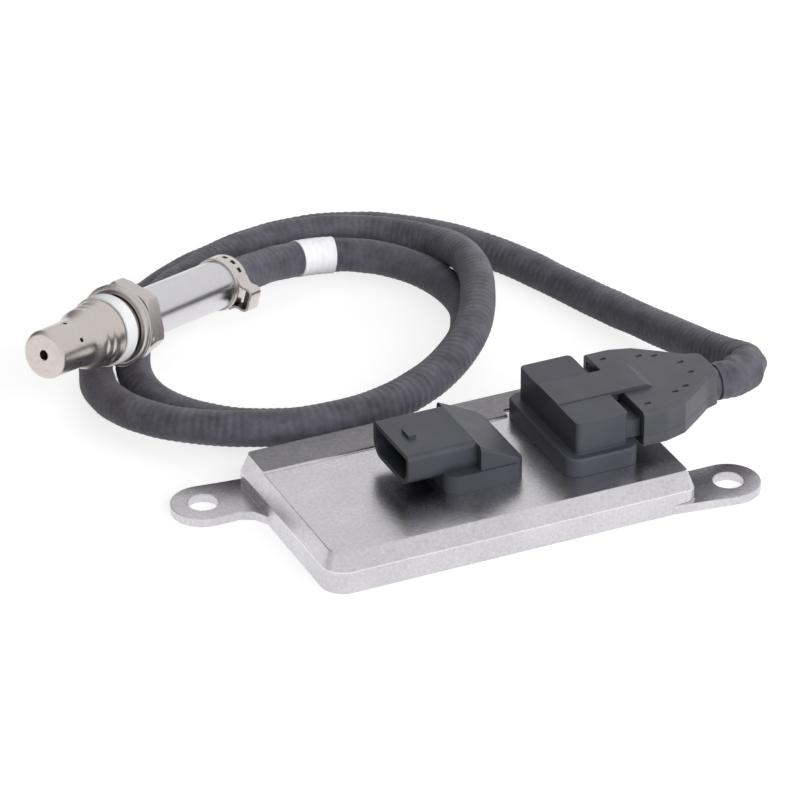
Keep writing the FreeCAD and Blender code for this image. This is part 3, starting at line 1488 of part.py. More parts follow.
vehicle_pins = bent_pins("vehicle_header_pins", "vehicle_flange_place",
                         "vehicle_mouth + vehicle_socket_depth - vehicle_pin_reach", "vehicle_pin_level",
                         "vehicle_pin_count", "vehicle_pin_pitch")
vehicle_seal = header_seal("vehicle_header_seal", "vehicle_flange_place", "vehicle_flange_length",
                           "vehicle_flange_width")
sensor_pins = bent_pins("sensor_header_pins", "sensor_block_start + sensor_pin_root",
                        "sensor_block_start + sensor_pin_root + sensor_pin_reach", "sensor_pin_level",
                        "sensor_pin_count", "sensor_pin_pitch")
sensor_seal = header_seal("sensor_header_seal", "sensor_flange_place", "sensor_flange_length",
                          "sensor_flange_width")
parts += [vehicle_header(vehicle_pins, vehicle_seal), vehicle_pins, vehicle_seal]
parts += [sensor_header(sensor_pins, sensor_seal), sensor_pins, sensor_seal]

terminals, back_seal, nose_seal = plug_terminals(), wire_seal(), front_seal()
parts += [plug_housing(terminals, back_seal, nose_seal), terminals, back_seal, nose_seal, lock_slide()]
parts += [cable_cover("cable_cover_upper", "cable_exit_level", "shell_top", True)]
parts += [cable_cover("cable_cover_lower", "shell_low", "cable_exit_level", False), plug_wires()]

cord, path_edges = cable()
parts += [cord, cable_label(path_edges)]
parts += [outer_tube(), inner_tube(), probe_body()] + rings() + sensor_core()
parts += [steel_sleeve()] + leads_and_grommet() + [clamp_band()]
doc.recompute()

faults = [item.Name for item in doc.Objects if "Invalid" in item.State or "Error" in item.State]
if faults:
    raise RuntimeError("failed: " + ", ".join(faults))
for part in parts:
    if part.Shape.isNull() or not part.Shape.isValid() or not part.Shape.Solids:
        raise RuntimeError("bad solid: " + part.Label)

os.makedirs("parts", exist_ok=True)
for part in parts:
    part.Shape.exportStep("parts/%s.step" % part.Label)
print(len(parts), "sub-parts written")
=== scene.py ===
import bisect
import math

import bmesh
import bpy
from mathutils import Matrix, Vector, noise


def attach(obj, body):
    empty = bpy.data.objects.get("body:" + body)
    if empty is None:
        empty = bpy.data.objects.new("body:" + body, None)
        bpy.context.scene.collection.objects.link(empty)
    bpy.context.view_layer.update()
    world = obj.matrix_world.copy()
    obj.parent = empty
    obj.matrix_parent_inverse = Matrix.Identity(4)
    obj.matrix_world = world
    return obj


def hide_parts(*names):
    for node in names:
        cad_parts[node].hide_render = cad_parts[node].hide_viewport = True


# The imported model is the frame. Lengths here are metres, and MM turns a millimetre into metres.
MM = 0.001
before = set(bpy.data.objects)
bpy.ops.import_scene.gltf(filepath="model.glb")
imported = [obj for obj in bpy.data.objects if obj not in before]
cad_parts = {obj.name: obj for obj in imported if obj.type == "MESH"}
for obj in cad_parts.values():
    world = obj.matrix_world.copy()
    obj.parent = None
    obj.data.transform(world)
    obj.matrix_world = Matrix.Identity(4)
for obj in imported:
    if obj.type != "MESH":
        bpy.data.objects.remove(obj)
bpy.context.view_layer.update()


# Camera and cable come first.

CAMERA_AZIMUTH = math.radians(-24.84)
CAMERA_ELEVATION = math.radians(29.77)
CAMERA_PLACE = (-0.5030, -1.0438, 0.6936)
CAMERA_LENS = 225.0

back = Vector((
    math.sin(CAMERA_AZIMUTH) * math.cos(CAMERA_ELEVATION),
    -math.cos(CAMERA_AZIMUTH) * math.cos(CAMERA_ELEVATION),
    math.sin(CAMERA_ELEVATION),
))
right = Vector((math.cos(CAMERA_AZIMUTH), math.sin(CAMERA_AZIMUTH), 0.0))
up = back.cross(right)
camera = bpy.data.objects.new("camera", bpy.data.cameras.new("camera"))
camera.data.lens = CAMERA_LENS
camera.data.sensor_width = 36.0
camera.data.clip_start = 0.05
turn = Matrix((right, up, back)).transposed().to_4x4()
camera.matrix_world = Matrix.Translation(CAMERA_PLACE) @ turn
bpy.context.scene.collection.objects.link(camera)
bpy.context.scene.camera = camera


# Materials

class Nodes:
    """A material whose nodes are added by name and joined by sockets."""

    def __init__(self, name, base, roughness, metallic=0.0):
        self.material = bpy.data.materials.new(name)
        self.material.use_nodes = True
        self.tree = self.material.node_tree
        self.shader = self.tree.nodes["Principled BSDF"]
        self.shader.inputs["Base Color"].default_value = (*base, 1.0)
        self.shader.inputs["Roughness"].default_value = roughness
        self.shader.inputs["Metallic"].default_value = metallic

    def add(self, kind, **inputs):
        """A node with set inputs; an underscore in an input's name stands for a space."""
        node = self.tree.nodes.new(kind)
        for key, value in inputs.items():
            node.inputs[key.replace("_", " ")].default_value = value
        return node

    def link(self, source, output, target, socket):
        self.tree.links.new(source.outputs[output], target.inputs[socket])

    def place(self, use_uv=False, stretch=(1.0, 1.0, 1.0)):
        """The object's own coordinates, or its UV, stretched."""
        coordinates = self.add("ShaderNodeTexCoord")
        mapping = self.add("ShaderNodeMapping")
        mapping.inputs["Scale"].default_value = stretch
        self.link(coordinates, "UV" if use_uv else "Object", mapping, "Vector")
        return mapping

    def noise(self, scale, detail=4.0, roughness=0.55, use_uv=False, stretch=(1.0, 1.0, 1.0)):
        texture = self.add("ShaderNodeTexNoise", Scale=scale, Detail=detail, Roughness=roughness)
        self.link(self.place(use_uv, stretch), "Vector", texture, "Vector")
        return texture

    def colour(self, factor, output, low, high, start=0.3, end=0.7):
        """The base colour runs between two tones along a texture."""
        ramp = self.add("ShaderNodeValToRGB")
        ramp.color_ramp.elements[0].position = start
        ramp.color_ramp.elements[1].position = end
        ramp.color_ramp.elements[0].color = (*low, 1.0)
        ramp.color_ramp.elements[1].color = (*high, 1.0)
        self.link(factor, output, ramp, "Fac")
        self.link(ramp, "Color", self.shader, "Base Color")

    def rough(self, factor, output, low, high):
        """The roughness runs between two values along a texture."""
        span = self.add("ShaderNodeMapRange", To_Min=low, To_Max=high)
        self.link(factor, output, span, "Value")
        self.link(span, "Result", self.shader, "Roughness")

    def bump(self, factor, output, depth, strength, after=None):
        """Relief of a given depth in metres, laid over another relief."""
        relief = self.add("ShaderNodeBump", Strength=strength, Distance=depth)
        self.link(factor, output, relief, "Height")
        if after:
            self.link(after, "Normal", relief, "Normal")
        self.link(relief, "Normal", self.shader, "Normal")
        return relief


def scaled(colour, factor):
    return tuple(channel * factor for channel in colour)


SPECKLE_SHARE = 0.55
CLOUD_SHARE = 0.45


def cast_metal(name, low, high, rough):
    """Die-cast aluminium, faintly mottled and grainy."""
    nodes = Nodes(name, high, rough[0], 1.0)
    cloud = nodes.noise(45.0, 3.0)
    speckle = nodes.noise(1100.0, 3.0, 0.6)
    both = nodes.add("ShaderNodeMath")
    both.operation = "MULTIPLY_ADD"
    both.inputs[1].default_value = SPECKLE_SHARE
    nodes.link(speckle, "Fac", both, 0)
    share = nodes.add("ShaderNodeMath")
    share.operation = "MULTIPLY"
    share.inputs[1].default_value = CLOUD_SHARE
    nodes.link(cloud, "Fac", share, 0)
    nodes.link(share, 0, both, 2)
    nodes.colour(both, 0, low, high, 0.36, 0.64)
    nodes.rough(nodes.noise(140.0, 3.0), "Fac", *rough)
    coarse = nodes.bump(nodes.noise(150.0, 3.0), "Fac", 0.00015, 0.35)
    nodes.bump(speckle, "Fac", 0.00004, 0.5, after=coarse)
    return nodes.material


def plain_metal(name, base, roughness):
    """Turned or drawn metal with fine marks round its axis, laid out by the piece's own UV."""
    nodes = Nodes(name, base, roughness, 1.0)
    marks = nodes.noise(14.0, 4.0, use_uv=True, stretch=(1.0, 30.0, 1.0))
    nodes.colour(marks, "Fac", scaled(base, 0.88), scaled(base, 1.06))
    nodes.rough(marks, "Fac", roughness * 0.75, roughness * 1.4)
    nodes.bump(marks, "Fac", 0.00002, 0.12)
    return nodes.material


def moulded(name, base, roughness):
    """Moulded plastic with a fine spark-eroded grain."""
    nodes = Nodes(name, base, roughness)
    cloud = nodes.noise(60.0, 3.0)
    nodes.colour(cloud, "Fac", scaled(base, 0.85), scaled(base, 1.2))
    nodes.rough(nodes.noise(220.0, 3.0), "Fac", roughness - 0.07, roughness + 0.1)
    coarse = nodes.bump(cloud, "Fac", 0.0001, 0.25)
    nodes.bump(nodes.noise(2700.0, 2.0), "Fac", 0.00002, 0.6, after=coarse)
    return nodes.material


def soft_rubber(name, base):
    """Matt rubber with a fine tooth."""
    nodes = Nodes(name, base, 0.6)
    nodes.colour(nodes.noise(200.0), "Fac", scaled(base, 0.8), scaled(base, 1.2))
    nodes.bump(nodes.noise(3000.0), "Fac", 0.00003, 0.4)
    return nodes.material


def sleeve_cloth():
    """The cable's ribbed sleeve: dark blue-grey yarn, a little dusty on its crests."""
    nodes = Nodes("sleeve_cloth", (0.06, 0.056, 0.073), 0.6)
    weave = nodes.add("ShaderNodeTexWave", Scale=30.0, Distortion=1.5, Detail=2.0)
    weave.bands_direction = "DIAGONAL"
    nodes.link(nodes.place(True, (10.0, 9.0, 1.0)), "Vector", weave, "Vector")
    nodes.colour(nodes.noise(170.0, 6.0, 0.68), "Fac", (0.041, 0.038, 0.051), (0.112, 0.106, 0.134), 0.33, 0.69)
    nodes.rough(nodes.noise(120.0, 3.0), "Fac", 0.5, 0.72)
    yarn = nodes.bump(weave, "Fac", 0.00005, 0.5)
    nodes.bump(nodes.noise(1300.0, 3.0), "Fac", 0.0001, 0.5, after=yarn)
    nodes.shader.inputs["Sheen Weight"].default_value = 0.12
    nodes.shader.inputs["Sheen Roughness"].default_value = 0.5
    return nodes.material


def chalky(name, base, relief=0.00015):
    """A dry matt surface with a fine uneven relief."""
    nodes = Nodes(name, base, 0.75)
    nodes.colour(nodes.noise(260.0), "Fac", scaled(base, 0.9), base)
    nodes.bump(nodes.noise(900.0, 5.0), "Fac", relief, 0.7)
    return nodes.material


cast = cast_metal("cast_aluminium", (0.58, 0.565, 0.59), (0.73, 0.715, 0.74), (0.22, 0.32))
# Darker metal for the far rail's top: a painted reflection and shade of the cable lying behind it.
rail_painted_shade_metal = cast_metal("cast_rail_painted_shade", (0.19, 0.185, 0.195), (0.29, 0.28, 0.295), (0.26, 0.38))
# Lighter metal for thin lines along creases and step faces: a painted highlight.
highlight_metal = cast_metal("cast_painted_highlight", (0.74, 0.73, 0.75), (0.86, 0.85, 0.87), (0.2, 0.3))
plastic = moulded("connector_plastic", (0.045, 0.046, 0.06), 0.42)
cover_plastic = moulded("cover_plastic", (0.061, 0.061, 0.075), 0.42)
slide_plastic = moulded("slide_plastic", (0.052, 0.053, 0.067), 0.4)
cloth = sleeve_cloth()
sleeve_steel = plain_metal("sleeve_steel", (0.72, 0.705, 0.735), 0.24)
tube_steel = plain_metal("tube_steel", (0.68, 0.62, 0.585), 0.27)
hex_steel = plain_metal("hex_steel", (0.62, 0.58, 0.56), 0.26)
clamp_steel = plain_metal("clamp_steel", (0.7, 0.66, 0.64), 0.26)
tin = plain_metal("tin_plate", (0.8, 0.78, 0.72), 0.25)
white_paste = chalky("white_compound", (0.78, 0.79, 0.8))
label_film = chalky("label_film", (0.9, 0.9, 0.92), 0.00003)
# Dark steel for the plug's terminals; on the clamp it paints the shade on the ear's inner faces and inside the
# windows.
dark_steel_and_painted_shade = plain_metal("clamp_inside_painted_shade", (0.16, 0.12, 0.11), 0.5)
cover_metal = plain_metal("cover_sheet", (0.6, 0.6, 0.61), 0.35)
orange_rubber = soft_rubber("orange_rubber", (0.5, 0.13, 0.04))
# Black rubber for the seals and the grommet; on the cover it paints the shade on the slot floors.
black_rubber_and_slot_shade = soft_rubber("black_rubber_and_slot_shade", (0.03, 0.03, 0.032))
laminate = moulded("board_laminate", (0.03, 0.16, 0.07), 0.35)
epoxy = moulded("chip_epoxy", (0.03, 0.03, 0.033), 0.5)
ceramic = chalky("ceramic_white", (0.85, 0.84, 0.8), 0.00005)
pad_gel = soft_rubber("gap_filler", (0.35, 0.4, 0.55))
wire_skin = moulded("wire_insulation", (0.09, 0.09, 0.1), 0.45)


# Pieces

def show(name, mesh, material, nodes=()):
    """A finished mesh becomes a piece that stands for some CAD nodes."""
    piece = bpy.data.objects.new(name, mesh)
    bpy.context.scene.collection.objects.link(piece)
    mesh.materials.clear()
    mesh.materials.append(material)
    if nodes:
        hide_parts(*nodes)
    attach(piece, "root")
    return piece


def soften(piece, width, segments, angle):
    """Small rounds of a width in millimetres on every edge that turns more than an angle in degrees."""
    bevel = piece.modifiers.new("rounds", "BEVEL")
    bevel.width = width * MM
    bevel.segments = segments
    bevel.limit_method = "ANGLE"
    bevel.angle_limit = math.radians(angle)
    bevel.harden_normals = True
    bevel.miter_outer = "MITER_ARC"
    for polygon in piece.data.polygons:
        polygon.use_smooth = True
    piece.modifiers.new("normals", "WEIGHTED_NORMAL").keep_sharp = True
    return piece


def dressed(node, material, width):
    """The node's own shape with rounded edges and a finished surface."""
    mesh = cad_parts[node].data.copy()
    shape = bmesh.new()
    shape.from_mesh(mesh)
    bmesh.ops.remove_doubles(shape, verts=shape.verts, dist=0.002 * MM)
    bmesh.ops.dissolve_limit(shape, angle_limit=math.radians(0.6), verts=shape.verts, edges=shape.edges)
    shape.to_mesh(mesh)
    shape.free()
    piece = show(node + "_finished", mesh, material, [node])
    return soften(piece, width, 3, 28.0)


CREASE_TOP = 10.0 * MM


def paint_crease_highlight(mesh, width, index):
    """A narrow strip of another material, given by its index, along the creases between upright walls and the
    taper above; a lighter metal there paints a highlight line.
    """
    shape = bmesh.new()
    shape.from_mesh(mesh)
    creases = []
    for edge in shape.edges:
        if len(edge.link_faces) == 2:
            low, high = sorted(face.normal.z for face in edge.link_faces)
            upright = -0.05 < low < 0.05
            sloping = 0.15 < high < 0.6
            if upright and sloping and edge.verts[0].co.z < CREASE_TOP:
                creases.append(edge)
    bmesh.ops.bevel(shape, geom=creases, offset=width * MM / 2, segments=2, profile=0.5, affect="EDGES",
                    material=index, clamp_overlap=True)
    shape.to_mesh(mesh)
    shape.free()


def cut_away(piece, cutters):
    """The piece less the cutters' mesh; its modifiers go back on after the cut."""
    mesh = bpy.data.meshes.new("cutters")
    cutters.to_mesh(mesh)
    cutters.free()
    holder = bpy.data.objects.new("cutters", mesh)
    bpy.context.scene.collection.objects.link(holder)
    for modifier in piece.modifiers:
        modifier.show_viewport = False
    cut = piece.modifiers.new("cut", "BOOLEAN")
    cut.operation = "DIFFERENCE"
    cut.solver = "EXACT"
    cut.object = holder
    bpy.context.view_layer.update()
    result = bpy.data.meshes.new_from_object(piece.evaluated_get(bpy.context.evaluated_depsgraph_get()))
    piece.modifiers.remove(cut)
    for modifier in piece.modifiers:
        modifier.show_viewport = True
    piece.data = result
    bpy.data.objects.remove(holder)


ARC_STEPS = 12
CUT_MARGIN = 2.0


def trimmed(piece, corner, radius, inset, heights):
    """Rounds the two upright corners at the +X end of what stands between two heights, in millimetres."""
    cutters = bmesh.new()
    end, half = corner
    reach = radius - inset
    for side in (-1, 1):
        outline = [(end + CUT_MARGIN, half + CUT_MARGIN), (end - radius, half + CUT_MARGIN)]
        for i in range(ARC_STEPS + 1):
            angle = math.pi / 2 * (1 - i / ARC_STEPS)
            outline.append((end - radius + reach * math.cos(angle), half - radius + reach * math.sin(angle)))
        outline.append((end + CUT_MARGIN, half - radius))
        low = [cutters.verts.new((x * MM, side * y * MM, heights[0] * MM)) for x, y in outline]
        high = [cutters.verts.new((x * MM, side * y * MM, heights[1] * MM)) for x, y in outline]
        cutters.faces.new(low)
        cutters.faces.new(high)
        for i in range(len(outline)):
            k = (i + 1) % len(outline)
            cutters.faces.new((low[i], low[k], high[k], high[i]))
    bmesh.ops.recalc_face_normals(cutters, faces=cutters.faces)
    cut_away(piece, cutters)


# Cable

ROUTE = [
    (0.0750, 0.0000, 0.0185),
    (0.0802, 0.0000, 0.0185),
    (0.0849, 0.0019, 0.0183),
    (0.0881, 0.0054, 0.0176),
    (0.0897, 0.0106, 0.0163),
    (0.0886, 0.0188, 0.0141),
    (0.0869, 0.0308, 0.0114),
    (0.0846, 0.0468, 0.0085),
    (0.0807, 0.0654, 0.0063),
    (0.0754, 0.0849, 0.0052),
    (0.0685, 0.1058, 0.0052),
    (0.0580, 0.1264, 0.0052),
    (0.0424, 0.1425, 0.0052),
    (0.0228, 0.1507, 0.0052),
    (0.0009, 0.1501, 0.0052),
    (-0.0214, 0.1427, 0.0052),
    (-0.0416, 0.1312, 0.0052),
    (-0.0632, 0.1107, 0.0052),
    (-0.0731, 0.0870, 0.0071),
    (-0.0711, 0.0651, 0.0095),
    (-0.0576, 0.0477, 0.0110),
    (-0.0360, 0.0376, 0.0111),
    (-0.0128, 0.0361, 0.0109),
    (0.0102, 0.0429, 0.0118),
    (0.0301, 0.0585, 0.0144),
    (0.0424, 0.0799, 0.0159),
    (0.0493, 0.1020, 0.0143),
    (0.0468, 0.1219, 0.0100),
    (0.0334, 0.1365, 0.0087),
    (0.0134, 0.1421, 0.0099),
    (-0.0099, 0.1379, 0.0110),
    (-0.0316, 0.1276, 0.0114),
    (-0.0497, 0.1122, 0.0107),
    (-0.0595, 0.0947, 0.0063),
    (-0.0612, 0.0765, 0.0052),
    (-0.0522, 0.0595, 0.0052),
    (-0.0360, 0.0486, 0.0052),
    (-0.0152, 0.0455, 0.0052),
    (0.0056, 0.0502, 0.0052),
    (0.0252, 0.0623, 0.0052),
    (0.0397, 0.0795, 0.0052),
    (0.0443, 0.0987, 0.0052),
    (0.0368, 0.1183, 0.0066),
    (0.0238, 0.1278, 0.0081),
    (0.0070, 0.1288, 0.0100),
    (-0.0115, 0.1220, 0.0128),
    (-0.0249, 0.1138, 0.0156),
]
CABLE_RADIUS = 5.1
RIB_PITCH = 2.15
RIB_DEPTH = 0.17
RINGS_PER_RIB = 6
CABLE_SIDES = 32
# Where the sleeve is bent hard: middle, spread and strength along the cable, in millimetres.
BENDS = ((265.0, 60.0, 1.0), (600.0, 60.0, 1.0), (500.0, 25.0, 0.7), (865.0, 40.0, 1.0))
FOLD_MIDDLE = 11.0
FOLD_SPREAD = 10.0


def centre_line(points):
    """The smooth line through the route's control points."""
    curve = bpy.data.curves.new("route", "CURVE")
    curve.dimensions = "3D"
    curve.resolution_u = 24
    spline = curve.splines.new("NURBS")
    spline.points.add(len(points) - 1)
    for point, place in zip(spline.points, points):
        point.co = (*place, 1.0)
    spline.order_u = 3
    spline.use_endpoint_u = True
    holder = bpy.data.objects.new("route", curve)
    line = [vertex.co.copy() for vertex in bpy.data.meshes.new_from_object(holder).vertices]
    bpy.data.objects.remove(holder)
    return line


class Path:
    """A line with a place and a frame for every distance along it."""

    def __init__(self, points):
        self.points = points
        self.reach = [0.0]
        for a, b in zip(points, points[1:]):
            self.reach.append(self.reach[-1] + (b - a).length)
        self.length = self.reach[-1]
        side = Vector((0.0, 0.0, 1.0))
        self.sides = []
        for i in range(len(points)):
            ahead = self.heading(i)
            side = (side - ahead * side.dot(ahead)).normalized()
            self.sides.append(side)

    def heading(self, i):
        return (self.points[min(i + 1, len(self.points) - 1)] - self.points[max(i - 1, 0)]).normalized()

    def at(self, distance):
        """Centre, heading and the two cross directions at a distance."""
        distance = min(max(distance, 0.0), self.length)
        i = min(max(bisect.bisect_right(self.reach, distance) - 1, 0), len(self.points) - 2)
        share = (distance - self.reach[i]) / max(self.reach[i + 1] - self.reach[i], 1e-9)
        centre = self.points[i].lerp(self.points[i + 1], share)
        ahead = self.heading(i).lerp(self.heading(i + 1), share).normalized()
        side = self.sides[i].lerp(self.sides[i + 1], share)
        side = (side - ahead * side.dot(ahead)).normalized()
        return centre, ahead, side, ahead.cross(side)


def swept(name, path, start, end, step, sides, radius):
    """A tube along part of a path whose radius depends on the distance and the angle."""
    count = max(2, round((end - start) / step))
    places = [start + (end - start) * i / count for i in range(count + 1)]
    rings = []
    for distance in places:
        centre, ahead, side, across = path.at(distance)
        ring = []
        for j in range(sides):
            angle = 2 * math.pi * j / sides
            reach = radius(distance, angle)
            ring.append(centre + (side * math.cos(angle) + across * math.sin(angle)) * reach)
        rings.append(ring)
    return skin(name, rings, [distance * 100 for distance in places])


def skin(name, rings, heights, cap=True):
    """A mesh over rings of points, with ends if it is capped, and with UV round and along it."""
    shape = bmesh.new()
    layer = shape.loops.layers.uv.new("UVMap")
    grid = [[shape.verts.new(point) for point in ring] for ring in rings]
    sides = len(rings[0])
    for i in range(len(grid) - 1):
        for j in range(sides):
            k = (j + 1) % sides
            face = shape.faces.new((grid[i][j], grid[i][k], grid[i + 1][k], grid[i + 1][j]))
            face.smooth = True
            corners = ((j, i), (j + 1, i), (j + 1, i + 1), (j, i + 1))
            for loop, (u, v) in zip(face.loops, corners):
                loop[layer].uv = (u / sides, heights[v])
    if cap:
        shape.faces.new(list(reversed(grid[0])))
        shape.faces.new(grid[-1])
    mesh = bpy.data.meshes.new(name)
    shape.to_mesh(mesh)
    shape.free()
    return mesh


cable_path = Path(centre_line(ROUTE))


def near(value, middle, spread):
    """1 at the middle, fading out over the spread."""
    return math.exp(-((value - middle) / spread) ** 2)


def cable_radius(distance, angle):
    """Shallow ribs, an uneven sleeve, long creases in the loops' bends and a bunched fold at the plug."""
    d = distance / MM
    x, y = math.cos(angle), math.sin(angle)
    wobble = noise.noise(Vector((d * 0.11, x * 0.9, y * 0.9)))
    uneven = noise.noise(Vector((d * 0.022, x * 0.6 + 7.0, y * 0.6)))
    dent = noise.noise(Vector((d * 0.06, x * 1.3 + 31.0, y * 1.3)))
    phase = 2 * math.pi * (d / RIB_PITCH + 0.4 * wobble)
    rib = 0.5 + 0.5 * math.cos(phase)
    turned = math.remainder(angle - 1.9 - 0.5 * math.sin(d / 17.0), 2 * math.pi)
    bend = max(strength * near(d, middle, spread) for middle, spread, strength in BENDS)
    depth = RIB_DEPTH * (0.9 + 0.6 * noise.noise(Vector((d * 0.05, 3.0, 11.0)))) * (1.0 - 0.6 * bend)
    crease = near(turned, 0.0, 0.26) + 0.8 * near(turned, -1.1, 0.22) - 0.6 * near(turned, 0.65, 0.3)
    crease = 0.5 * bend * crease
    crease += 0.4 * bend * noise.noise(Vector((d * 0.13, x * 1.4 + 5.0, y * 1.4)))
    fold = near(d, FOLD_MIDDLE, FOLD_SPREAD)
    crumple = noise.noise(Vector((d * 0.33, x * 1.5 + 3.0, y * 1.5)))
    reach = CABLE_RADIUS - depth * (1.0 - rib) + 0.16 * wobble + 0.34 * uneven - 0.42 * max(dent, 0.0) ** 1.5
    return (reach - crease + fold * (0.55 + 0.8 * crumple)) * MM


cable_mesh = swept("cable_sleeve", cable_path, 0.0, cable_path.length, RIB_PITCH * MM / RINGS_PER_RIB,
                   CABLE_SIDES, cable_radius)
# The soft sleeve lies flat where it touches the ground.
for vertex in cable_mesh.vertices:
    vertex.co.z = max(vertex.co.z, 0.0)
cable = show("cable_sleeve", cable_mesh, cloth, ["cable"])

LABEL_MIDDLE = 40.4
LABEL_LENGTH = 11.6
LABEL_RADIUS = 5.33
LABEL_STEP = 0.25
LABEL_SIDES = 64


def label_radius(distance, angle):
    """A wrapped film that sinks a little between the ribs, with its end lying over its start."""
    d = distance / MM
    overlap = 0.12 if 0.6 < angle < 1.2 else 0.0
    return (LABEL_RADIUS + overlap + 0.05 * math.cos(2 * math.pi * d / RIB_PITCH)) * MM


label_at = cable_path.length - LABEL_MIDDLE * MM
label_mesh = swept("cable_label_wrap", cable_path, label_at - LABEL_LENGTH * MM / 2,
                   label_at + LABEL_LENGTH * MM / 2, LABEL_STEP * MM, LABEL_SIDES, label_radius)
label = show("cable_label_wrap", label_mesh, label_film, ["cable_label"])


# Control unit, connectors and plug

RAIL_PAINTED_SHADE = 1
PAINTED_HIGHLIGHT = 2
PLATE_TOP = 11.75 * MM
RAIL_TOP = 12.0 * MM
CREASE_WIDTH = 0.4

housing = dressed("unit_housing", cast, 0.3)
housing.data.materials.append(rail_painted_shade_metal)
housing.data.materials.append(highlight_metal)
# A lighter metal along the creases between walls and taper paints a highlight line.
paint_crease_highlight(housing.data, CREASE_WIDTH, PAINTED_HIGHLIGHT)
# In the loop below, the far rail's top faces take a darker metal: a painted reflection and shade of the cable
# lying behind it.
for polygon in housing.data.polygons:
    if polygon.normal.z > 0.99 and polygon.center.z > RAIL_TOP:
        polygon.material_index = RAIL_PAINTED_SHADE
    # The rail's upright step faces that face the front take a lighter metal: a painted highlight.
    if polygon.normal.y < -0.5 and polygon.center.z > PLATE_TOP:
        polygon.material_index = PAINTED_HIGHLIGHT

# The header's end and half width, its flange's corner radius, and the heights of what stands on the flange.
HEADER_CORNER = (10.9, 14.5)
HEADER_RADIUS = 4.0
HEADER_INSET = 0.05
HEADER_HEIGHTS = (16.7, 27.0)

header = dressed("vehicle_header", plastic, 0.3)
trimmed(header, HEADER_CORNER, HEADER_RADIUS, HEADER_INSET, HEADER_HEIGHTS)
dressed("sensor_header", plastic, 0.3)
dressed("plug_housing", plastic, 0.2)

# The floors of the cover's small slots are painted black as shade.
SLOT_FLOOR_DEPTH = (0.3 * MM, 3.0 * MM)
SLOT_FLOOR_AREA = 4e-6

cover = dressed("cable_cover_upper", cover_plastic, 0.25)
cover.data.materials.append(black_rubber_and_slot_shade)
cover_top = max(vertex.co.z for vertex in cover.data.vertices)
for polygon in cover.data.polygons:
    sunk = SLOT_FLOOR_DEPTH[0] < cover_top - polygon.center.z < SLOT_FLOOR_DEPTH[1]
    if sunk and polygon.normal.z > 0.9 and polygon.area < SLOT_FLOOR_AREA:
        polygon.material_index = 1
dressed("cable_cover_lower", cover_plastic, 0.25)

# The lock slide's free end reaches a little over the block's edge.
SLIDE_END_DEPTH = 0.3 * MM
SLIDE_REACH = 0.7 * MM

slide = dressed("plug_lock_slide", slide_plastic, 0.2)
slide_end = min(vertex.co.x for vertex in slide.data.vertices)
for vertex in slide.data.vertices:
    if vertex.co.x < slide_end + SLIDE_END_DEPTH:
        vertex.co.x -= SLIDE_REACH

PLAIN_NODES = {
    "unit_base_cover": cover_metal,
    "unit_cover_seal": black_rubber_and_slot_shade,
    "circuit_board": laminate,
    "board_screws": tin,
    "processor_chip": epoxy,
    "thermal_pad": pad_gel,
    "driver_chips": epoxy,
    "capacitors": tin,
    "power_inductor": epoxy,
    "vehicle_header_pins": tin,
    "vehicle_header_seal": orange_rubber,
    "sensor_header_pins": tin,
    "sensor_header_seal": orange_rubber,
    "plug_terminals": dark_steel_and_painted_shade,
    "plug_front_seal": orange_rubber,
    "plug_wire_seal": orange_rubber,
    "plug_wires": wire_skin,
    "inner_protection_tube": tube_steel,
    "sensor_element": ceramic,
    "front_insulator": ceramic,
    "talc_packing": ceramic,
    "rear_insulator": ceramic,
    "contact_carrier": ceramic,
    "contact_strips": tin,
    "cable_grommet": black_rubber_and_slot_shade,
    "probe_leads": wire_skin,
}
for node, material in PLAIN_NODES.items():
    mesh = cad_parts[node].data
    mesh.materials.clear()
    mesh.materials.append(material)


# Probe. Every ring is given by its radius and its distance from the tip, in millimetres.

PROBE_TIP = Vector((-93.3, 71.83, 29.99))
PROBE_YAW = math.radians(31.51)
PROBE_PITCH = math.radians(100.17)
probe_frame = (Matrix.Translation(PROBE_TIP * MM) @ Matrix.Rotation(PROBE_YAW, 4, "Z")
               @ Matrix.Rotation(PROBE_PITCH, 4, "Y"))
LATHE_SIDES = 120


def round_axis(radius, angle, distance):
    """A point of the probe by its radius, its angle round the axis and its distance from the tip."""
    return probe_frame @ Vector((radius * math.cos(angle) * MM, radius * math.sin(angle) * MM, distance * MM))


def outward(mesh, weld=False):
    """Turns a mesh's faces outward, once points that lie on each other are joined."""
    shape = bmesh.new()
    shape.from_mesh(mesh)
    if weld:
        bmesh.ops.remove_doubles(shape, verts=shape.verts, dist=1e-7)
    bmesh.ops.recalc_face_normals(shape, faces=shape.faces)
    shape.to_mesh(mesh)
    shape.free()


def lathed(name, profile, material, nodes, width=0.15):
    """A turned piece: its closed half section swept round the probe's axis."""
    section = profile + [profile[0]]
    rings = []
    for radius, distance in section:
        rings.append([round_axis(radius, 2 * math.pi * j / LATHE_SIDES, distance) for j in range(LATHE_SIDES)])
    mesh = skin(name, rings, [distance / 10 for _, distance in section], False)
    outward(mesh, weld=True)
    piece = show(name, mesh, material, nodes)
    return soften(piece, width, 2, 28.0)


